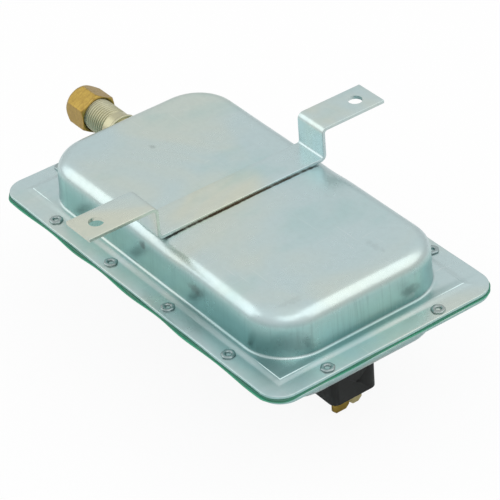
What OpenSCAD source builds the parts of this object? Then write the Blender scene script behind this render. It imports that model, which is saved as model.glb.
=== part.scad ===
// Diaphragm pressure switch: two drawn steel shells riveted round a diaphragm,
// a compression fitting for the sample line, a trip lever with a calibration
// spring, and a snap-acting switch under the lower shell.
// Millimetres. Every module is drawn in the flange frame: the origin is the
// centre of the upper flange's top face, +Z points to the dome, +X to the snap
// switch. at_mount() then moves it all to the row frame, whose origin is the
// midpoint of the two mounting holes on the top face of the strap's feet.

/* [Shells] */
// Length of the shell flanges
flange_l = 146; // [130:1:176]
// Width of the shell flanges
flange_w = 84.5; // [76:0.5:102]
// Plan radius of the flange corners
flange_corner_r = 7.5; // [3:0.5:9]
// Thickness of the shell sheet
sheet_t = 1.0; // [0.7:0.1:1.2]
// Flat clamping land outside the coined step
land_w = 7.9; // [7:0.1:9]
// Height of the coined step
step_h = 1.0; // [0.5:0.1:1.2]
// Ledge between the coined step and the dome wall
ledge_w = 2.0; // [1.4:0.1:4]
// Plan radius of the dome corners
dome_corner_r = 15.5; // [12:0.5:20]
// Radius of the rolled shoulder
shoulder_r = 5; // [3:0.5:6]
// Height of the dome above the flange
dome_h = 15; // [13:0.5:20]
// Depth of the lower pan below its flange
pan_h = 14.2; // [14.2:0.1:20]

/* [Diaphragm] */
// Thickness of the rim gasket
gasket_t = 0.6; // [0.4:0.1:1]
// Thickness of the diaphragm sheet
diaphragm_t = 0.5; // [0.3:0.1:0.8]
// Radius of the diaphragm's rolled convolution
roll_r = 4; // [3:0.25:4.5]
// Thickness of each diaphragm plate
plate_t = 1.0; // [0.8:0.1:1.2]
// Travel of the diaphragm plates
diaphragm_travel = 0.6; // [0.3:0.1:0.7]

/* [Rivets] */
// Radius of the rivet shank
rivet_r = 1.45; // [1.2:0.05:1.6]
// Radius of the rolled rivet head
rivet_head_r = 2.18; // [2:0.02:2.6]
// Height of the rolled rivet head
rivet_head_h = 0.6; // [0.4:0.1:0.8]
// Rivet inset from the long edges
rivet_inset_y = 3.58; // [3.2:0.02:4]
// Rivet inset from the short edges
rivet_inset_x = 3.33; // [3.2:0.02:4]

/* [Strap] */
// Distance between the two mounting holes
strap_hole_pitch = 98.4; // [96:0.1:125]
// Radius of the mounting holes
strap_hole_r = 2.4; // [2:0.1:3.2]
// Width of the strap
strap_w = 12.5; // [10:0.5:16]
// Thickness of the strap
strap_t = 1.2; // [1:0.1:1.6]
// Strap beyond each mounting hole
strap_end = 6.55; // [5:0.05:9]
// Height of the feet above the dome top
strap_rise = 11.85; // [8:0.05:16]
// Inner radius of the strap bends
strap_bend_r = 0.9; // [0.5:0.1:1.5]
// Offset of the strap from the middle of the flange
strap_x = -3.04; // [-8:0.02:0]

/* [Sample port] */
// Radius of the fitting's thread crests
port_r = 5.56; // [5:0.02:5.7]
// Height of the port axis above the flange
port_z = 7.4; // [7.2:0.1:7.8]
// Fitting length outside the dome wall
port_reach = 18.4; // [17:0.1:26]
// Thread pitch of the fitting and nut
port_pitch = 1.058; // [0.8:0.002:1.25]
// Radius of the sample tube socket
tube_r = 3.25; // [2.5:0.05:3.3]
// Compression nut across flats
nut_af = 12.7; // [12.7:0.1:15]
// Compression nut length
nut_l = 10.2; // [9.8:0.1:12]

/* [Trip lever] */
// Distance of the lever pivot behind the diaphragm centre
pivot_back = 30; // [26:0.5:34]
// Distance of the calibration spring behind the diaphragm centre
spring_back = 6; // [5:0.5:8]
// Half width of the lever
lever_half_w = 4.8; // [4:0.1:5.5]
// Thickness of the lever
lever_t = 1.2; // [0.8:0.1:1.4]
// Radius of the pivot pin
pivot_r = 1.2; // [0.8:0.1:1.4]

/* [Calibration] */
// Bore radius of the spring housing
spring_tube_r = 7.0; // [6.5:0.1:8]
// Wall of the spring housing
spring_tube_wall = 1.2; // [0.8:0.1:1.6]
// Length of the spring housing below the pan
spring_tube_l = 20; // [18:0.5:24]
// Mean radius of the calibration spring
coil_r = 4.75; // [4.6:0.05:5.2]
// Wire radius of the calibration spring
wire_r = 0.5; // [0.3:0.05:0.6]
// Number of turns in the calibration spring
coil_turns = 6; // [4:1:7]

/* [Snap switch] */
// Length of the snap switch case
switch_l = 49.2; // [46:0.1:58]
// Width of the snap switch case
switch_w = 17; // [15:0.1:20]
// Height of the snap switch case
switch_h = 12.5; // [12.5:0.1:16]
// Position of the case end that faces +X
switch_end_x = 55; // [53:0.5:58]
// Plan radius of the case's upright edges
switch_edge_r = 2.5; // [1:0.5:3]
// Distance of the plunger ahead of the diaphragm centre
plunger_x = 32; // [30:0.5:33]
// Radius of the plunger and push pin
plunger_r = 1.84; // [1.5:0.02:2]
// Spacing of the two switch screws
screw_pitch = 25.4; // [24:0.1:27]
// Width of the normally open terminal tab
tab_no_w = 6.35; // [4.75:0.05:6.35]
// Width of the normally closed terminal tab
tab_nc_w = 4.75; // [2.8:0.05:6.35]
// Thickness of the terminal tabs
tab_t = 0.8; // [0.5:0.1:1]

/* [Clearances] */
// Radial running clearance between a shaft and its bore
run_gap = 0.06; // [0.03:0.01:0.1]
// Radial clearance of rivets and screws in their holes
hole_gap = 0.1; // [0.05:0.01:0.2]
// Rest gap between parts that push on each other
touch_gap = 0.3; // [0.2:0.05:0.4]

/* [Hidden] */
$fn = 48;
over = 1;

// Plan half sizes, worked inwards from the flange
flange_hx = flange_l / 2;
flange_hy = flange_w / 2;
step_hx = flange_hx - land_w;
step_hy = flange_hy - land_w + 0.25;
dome_hx = step_hx - ledge_w - 0.6;
dome_hy = step_hy - ledge_w + 0.6;
cavity_hx = dome_hx - sheet_t;
cavity_hy = dome_hy - sheet_t;

// Levels, from the upper flange's top face at 0 downwards
gasket_top = -sheet_t;
membrane_top = gasket_top - gasket_t;
membrane_bot = membrane_top - diaphragm_t;
lower_flange_bot = membrane_bot - sheet_t;
pan_out = lower_flange_bot - pan_h;
pan_in = pan_out + sheet_t;

// Rivet pattern
long_pitch = flange_l / 4.8;
short_pitch = flange_w / 4.053;
long_side_rivets = [for (i = [-1.5:1:1.5]) for (s = [-1, 1])
    [i * long_pitch, s * (flange_hy - rivet_inset_y)]];
short_side_rivets = [for (i = [-1, 1]) for (s = [-1, 1])
    [s * (flange_hx - rivet_inset_x), i * short_pitch]];
rivet_places = concat(long_side_rivets, short_side_rivets);

// Strap levels
web_bot = dome_h;
web_top = web_bot + strap_t;
feet_top = web_bot + strap_rise;
feet_bot = feet_top - strap_t;
riser_y = dome_hy - 2.2;
strap_hy = strap_hole_pitch / 2 + strap_end;

// Diaphragm stack
roll_gap = 0.5;
roll_hx = cavity_hx - roll_r - roll_gap - diaphragm_t / 2;
roll_hy = cavity_hy - roll_r - roll_gap - diaphragm_t / 2;
roll_corner_r = dome_corner_r - sheet_t - roll_r - roll_gap;
plate_hx = roll_hx - roll_r - 1;
plate_hy = roll_hy - roll_r - 1;
plate_corner_r = roll_corner_r - roll_r;
stem_r = 2.5;
stem_shank_r = 2;
stem_head_r = 4.5;
stem_head_t = 1.3;
stem_collar_t = 1.2;

// Trip lever
lever_top = membrane_bot - plate_t - 6.3;
lever_bot = lever_top - lever_t;
pivot_z = lever_top - lever_t / 2;
knuckle_r = pivot_r + 1.2;
dimple_h = 0.5;
dimple_r = 2;
lever_tip_x = plunger_x + 4;
ear_t = 1;
ear_gap = 0.2;
ear_in = lever_half_w + ear_gap;
ear_out = ear_in + ear_t;
ear_half_l = 3.5;
foot_half_l = 4;
pin_head_t = 0.8;

// Calibration spring, seat, screw and housing
cup_t = 1.2;
spigot_r = coil_r - wire_r - 0.35;
spigot_h = 2;
cup_bot = lever_bot - cup_t;
seat_t = 1.2;
seat_top = pan_out - 9;
seat_bot = seat_top - seat_t;
screw_l = 5;
screw_bot = seat_bot - screw_l;
screw_slot_w = 1.6;
screw_slot_d = 2;
spring_end_gap = 0.05;
tube_flange_r = spring_tube_r + spring_tube_wall + 2.8;
tube_flange_t = 1;
tube_bot = pan_out - spring_tube_l;
pan_spring_hole_r = coil_r + wire_r + 0.75;

// Pin guide and bracket
guide_bore_r = plunger_r + run_gap;
guide_neck_r = guide_bore_r + 1.5;
guide_flange_r = guide_neck_r + 1.6;
guide_flange_t = 1;
guide_top = pan_in + 2.9;
bracket_t = 1;
case_top = pan_out - bracket_t;
pin_top = lever_bot - dimple_h - touch_gap;
pin_bot = pan_in + 1.3;

// Snap switch
case_bot = case_top - switch_h;
cover_h = 2.3;
cover_bot = case_top - cover_h;
case_hy = switch_w / 2;
case_x0 = switch_end_x - switch_l;
case_mid_x = (case_x0 + switch_end_x) / 2;
case_wall_x = 1.8;
case_wall_y = 2.1;
case_floor = 1.6;
cover_ceiling = case_top - 1.2;
cavity_bot = case_bot + case_floor;
blade_z = case_top - 3.6;
blade_t = 0.3;
blade_half_w = 3;
blade_pivot_x = case_x0 + 4.7;
contact_x = plunger_x + 4.5;
contact_r = 1.6;
contact_half_t = 0.6;
contact_gap = 0.1;
fixed_t = 0.6;
arm_t = 0.6;
arm_half_w = 2;
arm_x0 = contact_x - contact_r + 0.3;
lever_ratio = (plunger_x + pivot_back) / pivot_back;
plunger_travel = diaphragm_travel * lever_ratio;
contact_travel = plunger_travel * (contact_x - blade_pivot_x) / (plunger_x - blade_pivot_x);
nc_face = blade_z + contact_half_t + contact_gap;
no_face = blade_z - contact_half_t - contact_travel - contact_gap;
collar_t = 0.7;
collar_r = plunger_r + 1.1;
collar_top = cover_ceiling - 0.2;
plunger_tip_r = 1.2;
plunger_tip_z = blade_z + blade_t / 2 + touch_gap;

// Terminals
no_x = switch_end_x - 7;
nc_x = switch_end_x - 3.4;
com_x = blade_pivot_x;
no_y = -1;
nc_y = 1.95;
tab_no_drop = 9.2;
tab_nc_drop = 5.1;
tab_slot_gap = 0.05;

// Switch screws
screw_r = 1.5;
screw_hole_r = screw_r + hole_gap;
screw_z = case_top - 9.4;
boss_r = screw_hole_r + 0.7;
front_screw_x = switch_end_x - 15.4;
screw_places = [front_screw_x, front_screw_x - screw_pitch];
bracket_in = case_hy + 0.1;
bracket_out = bracket_in + bracket_t;
bracket_x0 = front_screw_x - screw_pitch - 4.2;
bracket_x1 = front_screw_x + 4.2;
bracket_bot = screw_z - 2.9;
head_r = 2.5;
head_t = 1.6;
nut_hex_af = 5.5;
nut_hex_t = 2.2;

// Sample port, measured outwards along -X
wall_x = -dome_hx;
port_in_x = wall_x + 3.2;
port_out_x = wall_x - port_reach;
port_collar_r = port_r + 0.64;
port_collar_t = 1.1;
flare_r = port_r + 0.15;
flare_t = 0.6;
plain_l = 4.3;
thread_depth = 0.45;
thread_turns = floor((port_reach - plain_l - 1.4) / port_pitch);
passage_r = 2.2;
socket_l = 7;
mouth_r = tube_r + 1.35;
nut_bore_r = port_r + hole_gap;
nut_front_x = port_out_x - 6.3;
nut_back_x = nut_front_x + nut_l;
nut_wall = 2.4;
nut_seat_x = nut_front_x + nut_wall;
nut_relief_r = nut_bore_r - 0.36;
nut_relief_x = nut_seat_x + 2.3;
nut_corner_r = nut_af / 2 / cos(30);
nut_chamfer = 0.9;
ferrule_back_x = nut_seat_x + 0.1;
ferrule_r = mouth_r + 0.3;
ferrule_nose_r = tube_r + 0.2;

// Moves a module from the flange frame to the row frame
module at_mount() {
    translate([-strap_x, 0, -feet_top]) children();
}

// Plan outline: a rectangle with round corners
module outline(hx, hy, r) {
    square([2 * (hx - r), 2 * hy], center = true);
    square([2 * hx, 2 * (hy - r)], center = true);
    for (sx = [-1, 1]) for (sy = [-1, 1]) translate([sx * (hx - r), sy * (hy - r)]) circle(r);
}

// Slab with that outline, between two levels
module slab(hx, hy, r, z0, z1) {
    translate([0, 0, z0]) linear_extrude(z1 - z0) outline(hx, hy, r);
}

// Points of a bend: centre, radius, start and end angles
function bend(c, r, a0, a1, n = 6) = [for (i = [0:n])
    let (a = a0 + (a1 - a0) * i / n) c + r * [cos(a), sin(a)]];

// Straight-walled tub with a rolled shoulder, from z0 up to z1: a middle block,
// four side lengths and four quarter turns of one section, which meet face to face
module tub(hx, hy, corner_r, roll, z0, z1) {
    cx = hx - corner_r;
    cy = hy - corner_r;
    section = concat([[0, z0], [corner_r, z0]],
        bend([corner_r - roll, z1 - roll], roll, 0, 90, 8), [[0, z1]]);
    translate([-cx, -cy, z0]) cube([2 * cx, 2 * cy, z1 - z0]);
    for (s = [0, 1]) {
        mirror([0, s, 0]) translate([-cx, cy, 0]) rotate([90, 0, 90])
            linear_extrude(2 * cx) polygon(section);
        mirror([s, 0, 0]) translate([cx, cy, 0]) rotate([90, 0, 0])
            linear_extrude(2 * cy) polygon(section);
        for (t = [0, 1]) mirror([s, 0, 0]) mirror([0, t, 0]) translate([cx, cy, 0])
            rotate_extrude(angle = 90) polygon(section);
    }
}

// Round bar bent round a rounded rectangle
module bent_bar(hx, hy, corner_r, bar_r) {
    for (s = [-1, 1]) {
        translate([0, s * hy, 0]) rotate([0, 90, 0])
            cylinder(r = bar_r, h = 2 * (hx - corner_r), center = true);
        translate([s * hx, 0, 0]) rotate([90, 0, 0])
            cylinder(r = bar_r, h = 2 * (hy - corner_r), center = true);
    }
    for (i = [0:3]) {
        sx = (i == 0 || i == 3) ? 1 : -1;
        sy = (i < 2) ? 1 : -1;
        translate([sx * (hx - corner_r), sy * (hy - corner_r), 0]) rotate([0, 0, 90 * i])
            rotate_extrude(angle = 90) translate([corner_r, 0]) circle(bar_r);
    }
}

// One drawn shell: flange, coined step and tub of the given height
module stamping(height) {
    difference() {
        union() {
            slab(flange_hx, flange_hy, flange_corner_r, -sheet_t, 0);
            translate([-step_hx, -step_hy, -sheet_t]) cube([2 * step_hx, 2 * step_hy, step_h + sheet_t]);
            tub(dome_hx, dome_hy, dome_corner_r, shoulder_r, 0, height);
        }
        translate([-step_hx + sheet_t, -step_hy + sheet_t, -sheet_t - over])
            cube([2 * (step_hx - sheet_t), 2 * (step_hy - sheet_t), step_h + over]);
        tub(cavity_hx, cavity_hy, dome_corner_r - sheet_t, shoulder_r - sheet_t,
            -sheet_t - over, height - sheet_t);
        for (p = rivet_places) translate([p[0], p[1], -sheet_t - over])
            cylinder(r = rivet_r + hole_gap, h = sheet_t + 2 * over);
    }
}

// A cylinder along X between two stations
module bar_x(r, x0, x1) {
    translate([min(x0, x1), 0, 0]) rotate([0, 90, 0]) cylinder(r = r, h = abs(x1 - x0));
}

// A cylinder along Y between two stations
module bar_y(r, y0, y1) {
    translate([0, min(y0, y1), 0]) rotate([-90, 0, 0]) cylinder(r = r, h = abs(y1 - y0));
}

// A block between two corners
module block(a, b) {
    translate(a) cube(b - a);
}

module upper_shell() {
    color([0.72, 0.78, 0.78]) difference() {
        stamping(dome_h);
        translate([0, 0, port_z]) bar_x(port_r + hole_gap, wall_x - over, wall_x + shoulder_r);
    }
}

module lower_shell() {
    vent_r = 1.5;
    vent_x = -dome_hx + 16;
    color([0.66, 0.72, 0.72]) difference() {
        translate([0, 0, lower_flange_bot]) mirror([0, 0, 1]) stamping(pan_h);
        translate([-spring_back, 0, pan_out - over])
            cylinder(r = pan_spring_hole_r, h = sheet_t + 2 * over);
        translate([plunger_x, 0, pan_out - over])
            cylinder(r = guide_neck_r + hole_gap, h = sheet_t + 2 * over);
        translate([vent_x, 0, pan_out - over]) cylinder(r = vent_r, h = sheet_t + 2 * over);
    }
}

module rim_gasket() {
    edge = 0.3;
    inner_r = 2;
    color([0.16, 0.42, 0.30]) difference() {
        slab(flange_hx - edge, flange_hy - edge, flange_corner_r - edge, membrane_top, gasket_top);
        slab(step_hx, step_hy, inner_r, membrane_top - over, gasket_top + over);
        for (p = rivet_places) translate([p[0], p[1], membrane_top - over])
            cylinder(r = rivet_r + hole_gap, h = gasket_t + 2 * over);
    }
}

module diaphragm() {
    edge = 0.1;
    mid = (membrane_top + membrane_bot) / 2;
    out_r = roll_r + diaphragm_t / 2;
    in_r = roll_r - diaphragm_t / 2;
    color([0.10, 0.34, 0.24]) difference() {
        union() {
            slab(flange_hx - edge, flange_hy - edge, flange_corner_r - edge, membrane_bot, membrane_top);
            intersection() {
                translate([0, 0, mid]) bent_bar(roll_hx, roll_hy, roll_corner_r, out_r);
                slab(cavity_hx, cavity_hy, dome_corner_r, membrane_bot, mid + out_r + over);
            }
        }
        translate([0, 0, mid]) bent_bar(roll_hx, roll_hy, roll_corner_r, in_r);
        translate([0, 0, membrane_bot - over])
            cylinder(r = stem_shank_r + run_gap, h = diaphragm_t + 2 * over);
        for (p = rivet_places) translate([p[0], p[1], membrane_bot - over])
            cylinder(r = rivet_r + hole_gap, h = diaphragm_t + 2 * over);
    }
}

// One stiffening plate of the diaphragm, with its lower face at z0
module stiffener(z0) {
    difference() {
        slab(plate_hx, plate_hy, plate_corner_r, z0, z0 + plate_t);
        translate([0, 0, z0 - over]) cylinder(r = stem_shank_r + run_gap, h = plate_t + 2 * over);
    }
}

module diaphragm_plate_upper() {
    color([0.70, 0.72, 0.72]) stiffener(membrane_top);
}

module diaphragm_plate_lower() {
    color([0.66, 0.68, 0.68]) stiffener(membrane_bot - plate_t);
}

module centre_rivet() {
    plates_top = membrane_top + plate_t;
    plates_bot = membrane_bot - plate_t;
    tip = lever_top + touch_gap;
    color([0.80, 0.68, 0.36]) union() {
        translate([0, 0, plates_top]) cylinder(r = stem_head_r, h = stem_head_t);
        translate([0, 0, plates_bot - stem_collar_t])
            cylinder(r = stem_shank_r, h = plates_top - plates_bot + 2 * stem_collar_t);
        translate([0, 0, plates_bot - stem_collar_t]) cylinder(r = stem_head_r - 0.5, h = stem_collar_t);
        translate([0, 0, tip + stem_r]) cylinder(r = stem_r, h = plates_bot - tip - stem_r);
        translate([0, 0, tip + stem_r]) sphere(stem_r);
    }
}

// Tubular rivet: a flat head below, a rolled head above
module tubular_rivet() {
    bore_r = rivet_r - 0.5;
    flat_t = 0.5;
    floor_t = 0.8;
    roll = rivet_head_h / 2;
    difference() {
        union() {
            translate([0, 0, lower_flange_bot - flat_t]) cylinder(r = rivet_head_r + 0.3, h = flat_t);
            translate([0, 0, lower_flange_bot])
                cylinder(r = rivet_r, h = rivet_head_h - lower_flange_bot - roll);
            cylinder(r = rivet_head_r - roll, h = rivet_head_h);
            rotate_extrude() translate([rivet_head_r - roll, roll]) circle(roll, $fn = 24);
        }
        translate([0, 0, lower_flange_bot - flat_t + floor_t])
            cylinder(r = bore_r, h = rivet_head_h - lower_flange_bot + over);
    }
}

module flange_rivets() {
    color([0.78, 0.80, 0.80]) for (p = rivet_places) translate([p[0], p[1], 0]) tubular_rivet();
}

module mounting_strap() {
    big = strap_bend_r + strap_t;
    small = strap_bend_r;
    // half section for y > 0, anticlockwise, as [y, z]
    lower_side = concat([[0, web_bot]], bend([riser_y - small, web_top + small], big, -90, 0),
        bend([riser_y + big, feet_bot - small], small, 180, 90), [[strap_hy, feet_bot]]);
    upper_side = concat([[strap_hy, feet_top]], bend([riser_y + big, feet_bot - small], big, 90, 180),
        bend([riser_y - small, web_top + small], small, 0, -90), [[0, web_top]]);
    color([0.74, 0.80, 0.79]) difference() {
        for (s = [0, 1]) mirror([0, s, 0]) translate([strap_x - strap_w / 2, 0, 0])
            rotate([90, 0, 90]) linear_extrude(strap_w) polygon(concat(lower_side, upper_side));
        for (s = [-1, 1]) translate([strap_x, s * strap_hole_pitch / 2, feet_bot - over])
            cylinder(r = strap_hole_r, h = strap_t + 2 * over);
    }
}

module port_fitting() {
    thread_start = wall_x - plain_l;
    root_r = port_r - thread_depth;
    ridge = [for (i = [0:thread_turns - 1]) each [
        [root_r, i * port_pitch], [root_r, (i + 0.12) * port_pitch],
        [port_r, (i + 0.44) * port_pitch], [port_r, (i + 0.56) * port_pitch],
        [root_r, (i + 0.88) * port_pitch]]];
    thread_l = thread_turns * port_pitch;
    color([0.62, 0.63, 0.52]) translate([0, 0, port_z]) difference() {
        union() {
            bar_x(port_r, port_in_x, thread_start);
            bar_x(flare_r, port_in_x, port_in_x - flare_t);
            bar_x(port_collar_r, wall_x, wall_x - port_collar_t);
            translate([thread_start, 0, 0]) rotate([0, -90, 0]) rotate_extrude()
                polygon(concat([[0, 0]], ridge, [[root_r, thread_l], [0, thread_l]]));
            bar_x(root_r, thread_start - thread_l, port_out_x);
        }
        bar_x(passage_r, port_in_x + over, port_out_x - over);
        bar_x(tube_r, port_out_x + socket_l, port_out_x - over);
        translate([port_out_x - 0.01, 0, 0]) rotate([0, 90, 0])
            cylinder(r1 = mouth_r, r2 = tube_r, h = mouth_r - tube_r);
    }
}

module ferrule() {
    body_l = 2.6;
    nose_l = 1.9;
    color([0.80, 0.66, 0.34]) translate([ferrule_back_x, 0, port_z]) rotate([0, 90, 0]) rotate_extrude()
        polygon([[tube_r, 0], [ferrule_r, 0], [ferrule_r, body_l],
            [ferrule_nose_r, body_l + nose_l], [tube_r, body_l + nose_l]]);
}

module compression_nut() {
    face_r = nut_corner_r - nut_chamfer;
    color([0.78, 0.66, 0.34]) translate([0, 0, port_z]) difference() {
        intersection() {
            translate([nut_front_x, 0, 0]) rotate([0, 90, 0]) cylinder(r = nut_corner_r, h = nut_l, $fn = 6);
            translate([nut_front_x, 0, 0]) rotate([0, 90, 0]) rotate_extrude()
                polygon([[0, 0], [face_r, 0], [nut_corner_r + 0.1, 2 * nut_chamfer],
                    [nut_corner_r + 0.1, nut_l - nut_chamfer], [face_r, nut_l], [0, nut_l]]);
        }
        bar_x(nut_bore_r, nut_relief_x, nut_back_x + over);
        bar_x(nut_relief_r, nut_seat_x, nut_relief_x + over);
        bar_x(tube_r, nut_front_x - over, nut_seat_x + over);
    }
}

module trip_lever() {
    flange_h = 2;
    flange_x0 = 2;
    flange_x1 = plunger_x - 5;
    color([0.72, 0.73, 0.74]) difference() {
        union() {
            block([-pivot_back, -lever_half_w, lever_bot], [lever_tip_x, lever_half_w, lever_top]);
            for (s = [-1, 1]) translate([0, s * (lever_half_w - 0.5), 0])
                block([flange_x0, -0.5, lever_bot - flange_h], [flange_x1, 0.5, lever_top - 0.2]);
            translate([-pivot_back, 0, pivot_z]) bar_y(knuckle_r, -lever_half_w, lever_half_w);
            intersection() {
                translate([plunger_x, 0, lever_bot - dimple_h + dimple_r]) sphere(dimple_r);
                block([plunger_x - 3, -3, lever_bot - over], [plunger_x + 3, 3, lever_top - 0.2]);
            }
        }
        translate([-pivot_back, 0, pivot_z])
            bar_y(pivot_r + run_gap, -lever_half_w - over, lever_half_w + over);
    }
}

module lever_bracket() {
    color([0.70, 0.73, 0.73]) difference() {
        union() {
            block([-pivot_back - foot_half_l, -ear_out, pan_in],
                [-pivot_back + foot_half_l, ear_out, pan_in + ear_t]);
            for (s = [-1, 1]) translate([0, s * (ear_in + ear_t / 2), 0]) {
                block([-pivot_back - ear_half_l, -ear_t / 2, pan_in],
                    [-pivot_back + ear_half_l, ear_t / 2, pivot_z]);
                translate([-pivot_back, 0, pivot_z]) bar_y(ear_half_l, -ear_t / 2, ear_t / 2);
            }
        }
        translate([-pivot_back, 0, pivot_z]) bar_y(pivot_r, -ear_out - over, ear_out + over);
    }
}

module pivot_pin() {
    color([0.60, 0.61, 0.62]) translate([-pivot_back, 0, pivot_z]) union() {
        bar_y(pivot_r, -ear_out - pin_head_t, ear_out + pin_head_t / 2);
        bar_y(pivot_r + 0.7, ear_out, ear_out + pin_head_t);
    }
}

module spring_cup() {
    color([0.68, 0.70, 0.70]) translate([-spring_back, 0, 0]) union() {
        translate([0, 0, cup_bot]) cylinder(r = coil_r + wire_r + 0.4, h = cup_t);
        translate([0, 0, cup_bot - spigot_h]) cylinder(r = spigot_r, h = spigot_h + cup_t);
    }
}

// Round wire wound as a helix with flat-lying end turns
module coil(r, wire, z0, z1, turns, steps = 20, sides = 8) {
    n = turns * steps;
    lift = [for (i = [0:n]) let (t = i / n, e = 1 / turns)
        t < e ? wire * 2.1 * t / e : t > 1 - e ? z1 - z0 - wire * 2.1 * (1 - t) / e :
        wire * 2.1 + (z1 - z0 - wire * 4.2) * (t - e) / (1 - 2 * e)];
    points = [for (i = [0:n]) for (j = [0:sides - 1])
        let (a = 360 * i / steps, b = 360 * j / sides, q = r + wire * cos(b))
        [q * cos(a), q * sin(a), z0 + lift[i] + wire * sin(b)]];
    walls = [for (i = [0:n - 1]) for (j = [0:sides - 1])
        let (k = (j + 1) % sides)
            [i * sides + j, (i + 1) * sides + j, (i + 1) * sides + k, i * sides + k]];
    ends = [[for (j = [0:sides - 1]) j], [for (j = [sides - 1:-1:0]) n * sides + j]];
    polyhedron(points, concat(walls, ends));
}

module calibration_spring() {
    color([0.62, 0.64, 0.66]) translate([-spring_back, 0, 0])
        coil(coil_r, wire_r, seat_top + wire_r + spring_end_gap,
            cup_bot - wire_r - spring_end_gap, coil_turns);
}

module spring_housing() {
    lip = 0.6;
    color([0.70, 0.76, 0.76]) translate([-spring_back, 0, 0]) difference() {
        union() {
            translate([0, 0, tube_bot]) cylinder(r = spring_tube_r + spring_tube_wall, h = spring_tube_l);
            translate([0, 0, tube_bot])
                cylinder(r = spring_tube_r + spring_tube_wall + lip / 2, h = lip);
            translate([0, 0, pan_out - tube_flange_t]) cylinder(r = tube_flange_r, h = tube_flange_t);
        }
        translate([0, 0, tube_bot - over]) cylinder(r = spring_tube_r, h = spring_tube_l + 2 * over);
    }
}

module spring_seat() {
    color([0.68, 0.70, 0.70]) translate([-spring_back, 0, 0]) union() {
        translate([0, 0, seat_bot]) cylinder(r = spring_tube_r - hole_gap, h = seat_t);
        translate([0, 0, seat_bot]) cylinder(r = spigot_r, h = seat_t + spigot_h);
    }
}

module range_screw() {
    color([0.80, 0.68, 0.38]) translate([-spring_back, 0, 0]) difference() {
        translate([0, 0, screw_bot]) cylinder(r = spring_tube_r - run_gap, h = screw_l);
        block([-spring_tube_r - over, -screw_slot_w / 2, screw_bot - over],
            [spring_tube_r + over, screw_slot_w / 2, screw_bot + screw_slot_d]);
    }
}

module pin_guide() {
    color([0.82, 0.80, 0.72]) translate([plunger_x, 0, 0]) difference() {
        union() {
            translate([0, 0, case_top]) cylinder(r = guide_neck_r, h = guide_top - case_top);
            translate([0, 0, pan_in]) cylinder(r = guide_flange_r, h = guide_flange_t);
        }
        translate([0, 0, case_top - over])
            cylinder(r = guide_bore_r, h = guide_top - case_top + 2 * over);
    }
}

module push_pin() {
    color([0.50, 0.34, 0.20]) translate([plunger_x, 0, pin_bot])
        cylinder(r = plunger_r, h = pin_top - pin_bot);
}

module switch_bracket() {
    color([0.70, 0.76, 0.76]) difference() {
        union() {
            block([bracket_x0, -bracket_out, case_top], [bracket_x1, bracket_out, pan_out]);
            for (s = [-1, 1]) translate([0, s * (bracket_in + bracket_t / 2), 0])
                block([bracket_x0, -bracket_t / 2, bracket_bot],
                    [bracket_x1, bracket_t / 2, pan_out - bracket_t / 2]);
        }
        translate([plunger_x, 0, case_top - over])
            cylinder(r = guide_neck_r + hole_gap, h = bracket_t + 2 * over);
        for (x = screw_places) translate([x, 0, screw_z])
            bar_y(screw_hole_r, -bracket_out - over, bracket_out + over);
    }
}

// The case outline between two levels
module case_slab(z0, z1) {
    translate([case_mid_x, 0, 0]) slab(switch_l / 2, case_hy, switch_edge_r, z0, z1);
}

// The hollow inside the case between two levels
module case_hollow(z0, z1) {
    block([case_x0 + case_wall_x, case_wall_y - case_hy, z0],
        [switch_end_x - case_wall_x, case_hy - case_wall_y, z1]);
}

// The slot in the case floor that a terminal passes through
module tab_slot(x, y, w) {
    block([x - tab_t / 2 - tab_slot_gap, y - w / 2 - tab_slot_gap, case_bot - over],
        [x + tab_t / 2 + tab_slot_gap, y + w / 2 + tab_slot_gap, cavity_bot + over]);
}

module switch_housing() {
    color([0.13, 0.14, 0.14]) difference() {
        union() {
            difference() {
                case_slab(case_bot, cover_bot);
                case_hollow(cavity_bot, cover_bot + over);
            }
            for (x = screw_places) translate([x, 0, screw_z])
                bar_y(boss_r, -case_hy + 0.5, case_hy - 0.5);
        }
        for (x = screw_places) translate([x, 0, screw_z])
            bar_y(screw_hole_r, -case_hy - over, case_hy + over);
        tab_slot(no_x, no_y, tab_no_w);
        tab_slot(nc_x, nc_y, tab_nc_w);
        tab_slot(com_x, 0, tab_no_w);
    }
}

module switch_cover() {
    color([0.15, 0.16, 0.16]) difference() {
        case_slab(cover_bot, case_top);
        case_hollow(cover_bot - over, cover_ceiling);
        translate([plunger_x, 0, cover_bot]) cylinder(r = guide_bore_r, h = cover_h + over);
    }
}

module switch_plunger() {
    color([0.55, 0.12, 0.10]) translate([plunger_x, 0, 0]) union() {
        translate([0, 0, collar_top]) cylinder(r = plunger_r, h = pin_bot - collar_top);
        translate([0, 0, collar_top - collar_t]) cylinder(r = collar_r, h = collar_t);
        translate([0, 0, plunger_tip_z]) cylinder(r = plunger_tip_r, h = collar_top - plunger_tip_z);
    }
}

module snap_blade() {
    color([0.82, 0.62, 0.38]) difference() {
        block([blade_pivot_x - 1, -blade_half_w, blade_z - blade_t / 2],
            [contact_x + contact_r + 0.5, blade_half_w, blade_z + blade_t / 2]);
        translate([contact_x, 0, blade_z - over]) cylinder(r = contact_r / 2, h = 2 * over);
    }
}

module moving_contact() {
    color([0.84, 0.85, 0.86]) translate([contact_x, 0, 0]) union() {
        translate([0, 0, blade_z - contact_half_t]) cylinder(r = contact_r, h = contact_half_t - blade_t / 2);
        translate([0, 0, blade_z + blade_t / 2]) cylinder(r = contact_r, h = contact_half_t - blade_t / 2);
        translate([0, 0, blade_z - contact_half_t]) cylinder(r = contact_r / 2, h = 2 * contact_half_t);
    }
}

module fixed_contact_nc() {
    color([0.84, 0.85, 0.86]) translate([contact_x, 0, nc_face]) cylinder(r = contact_r, h = fixed_t);
}

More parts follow.
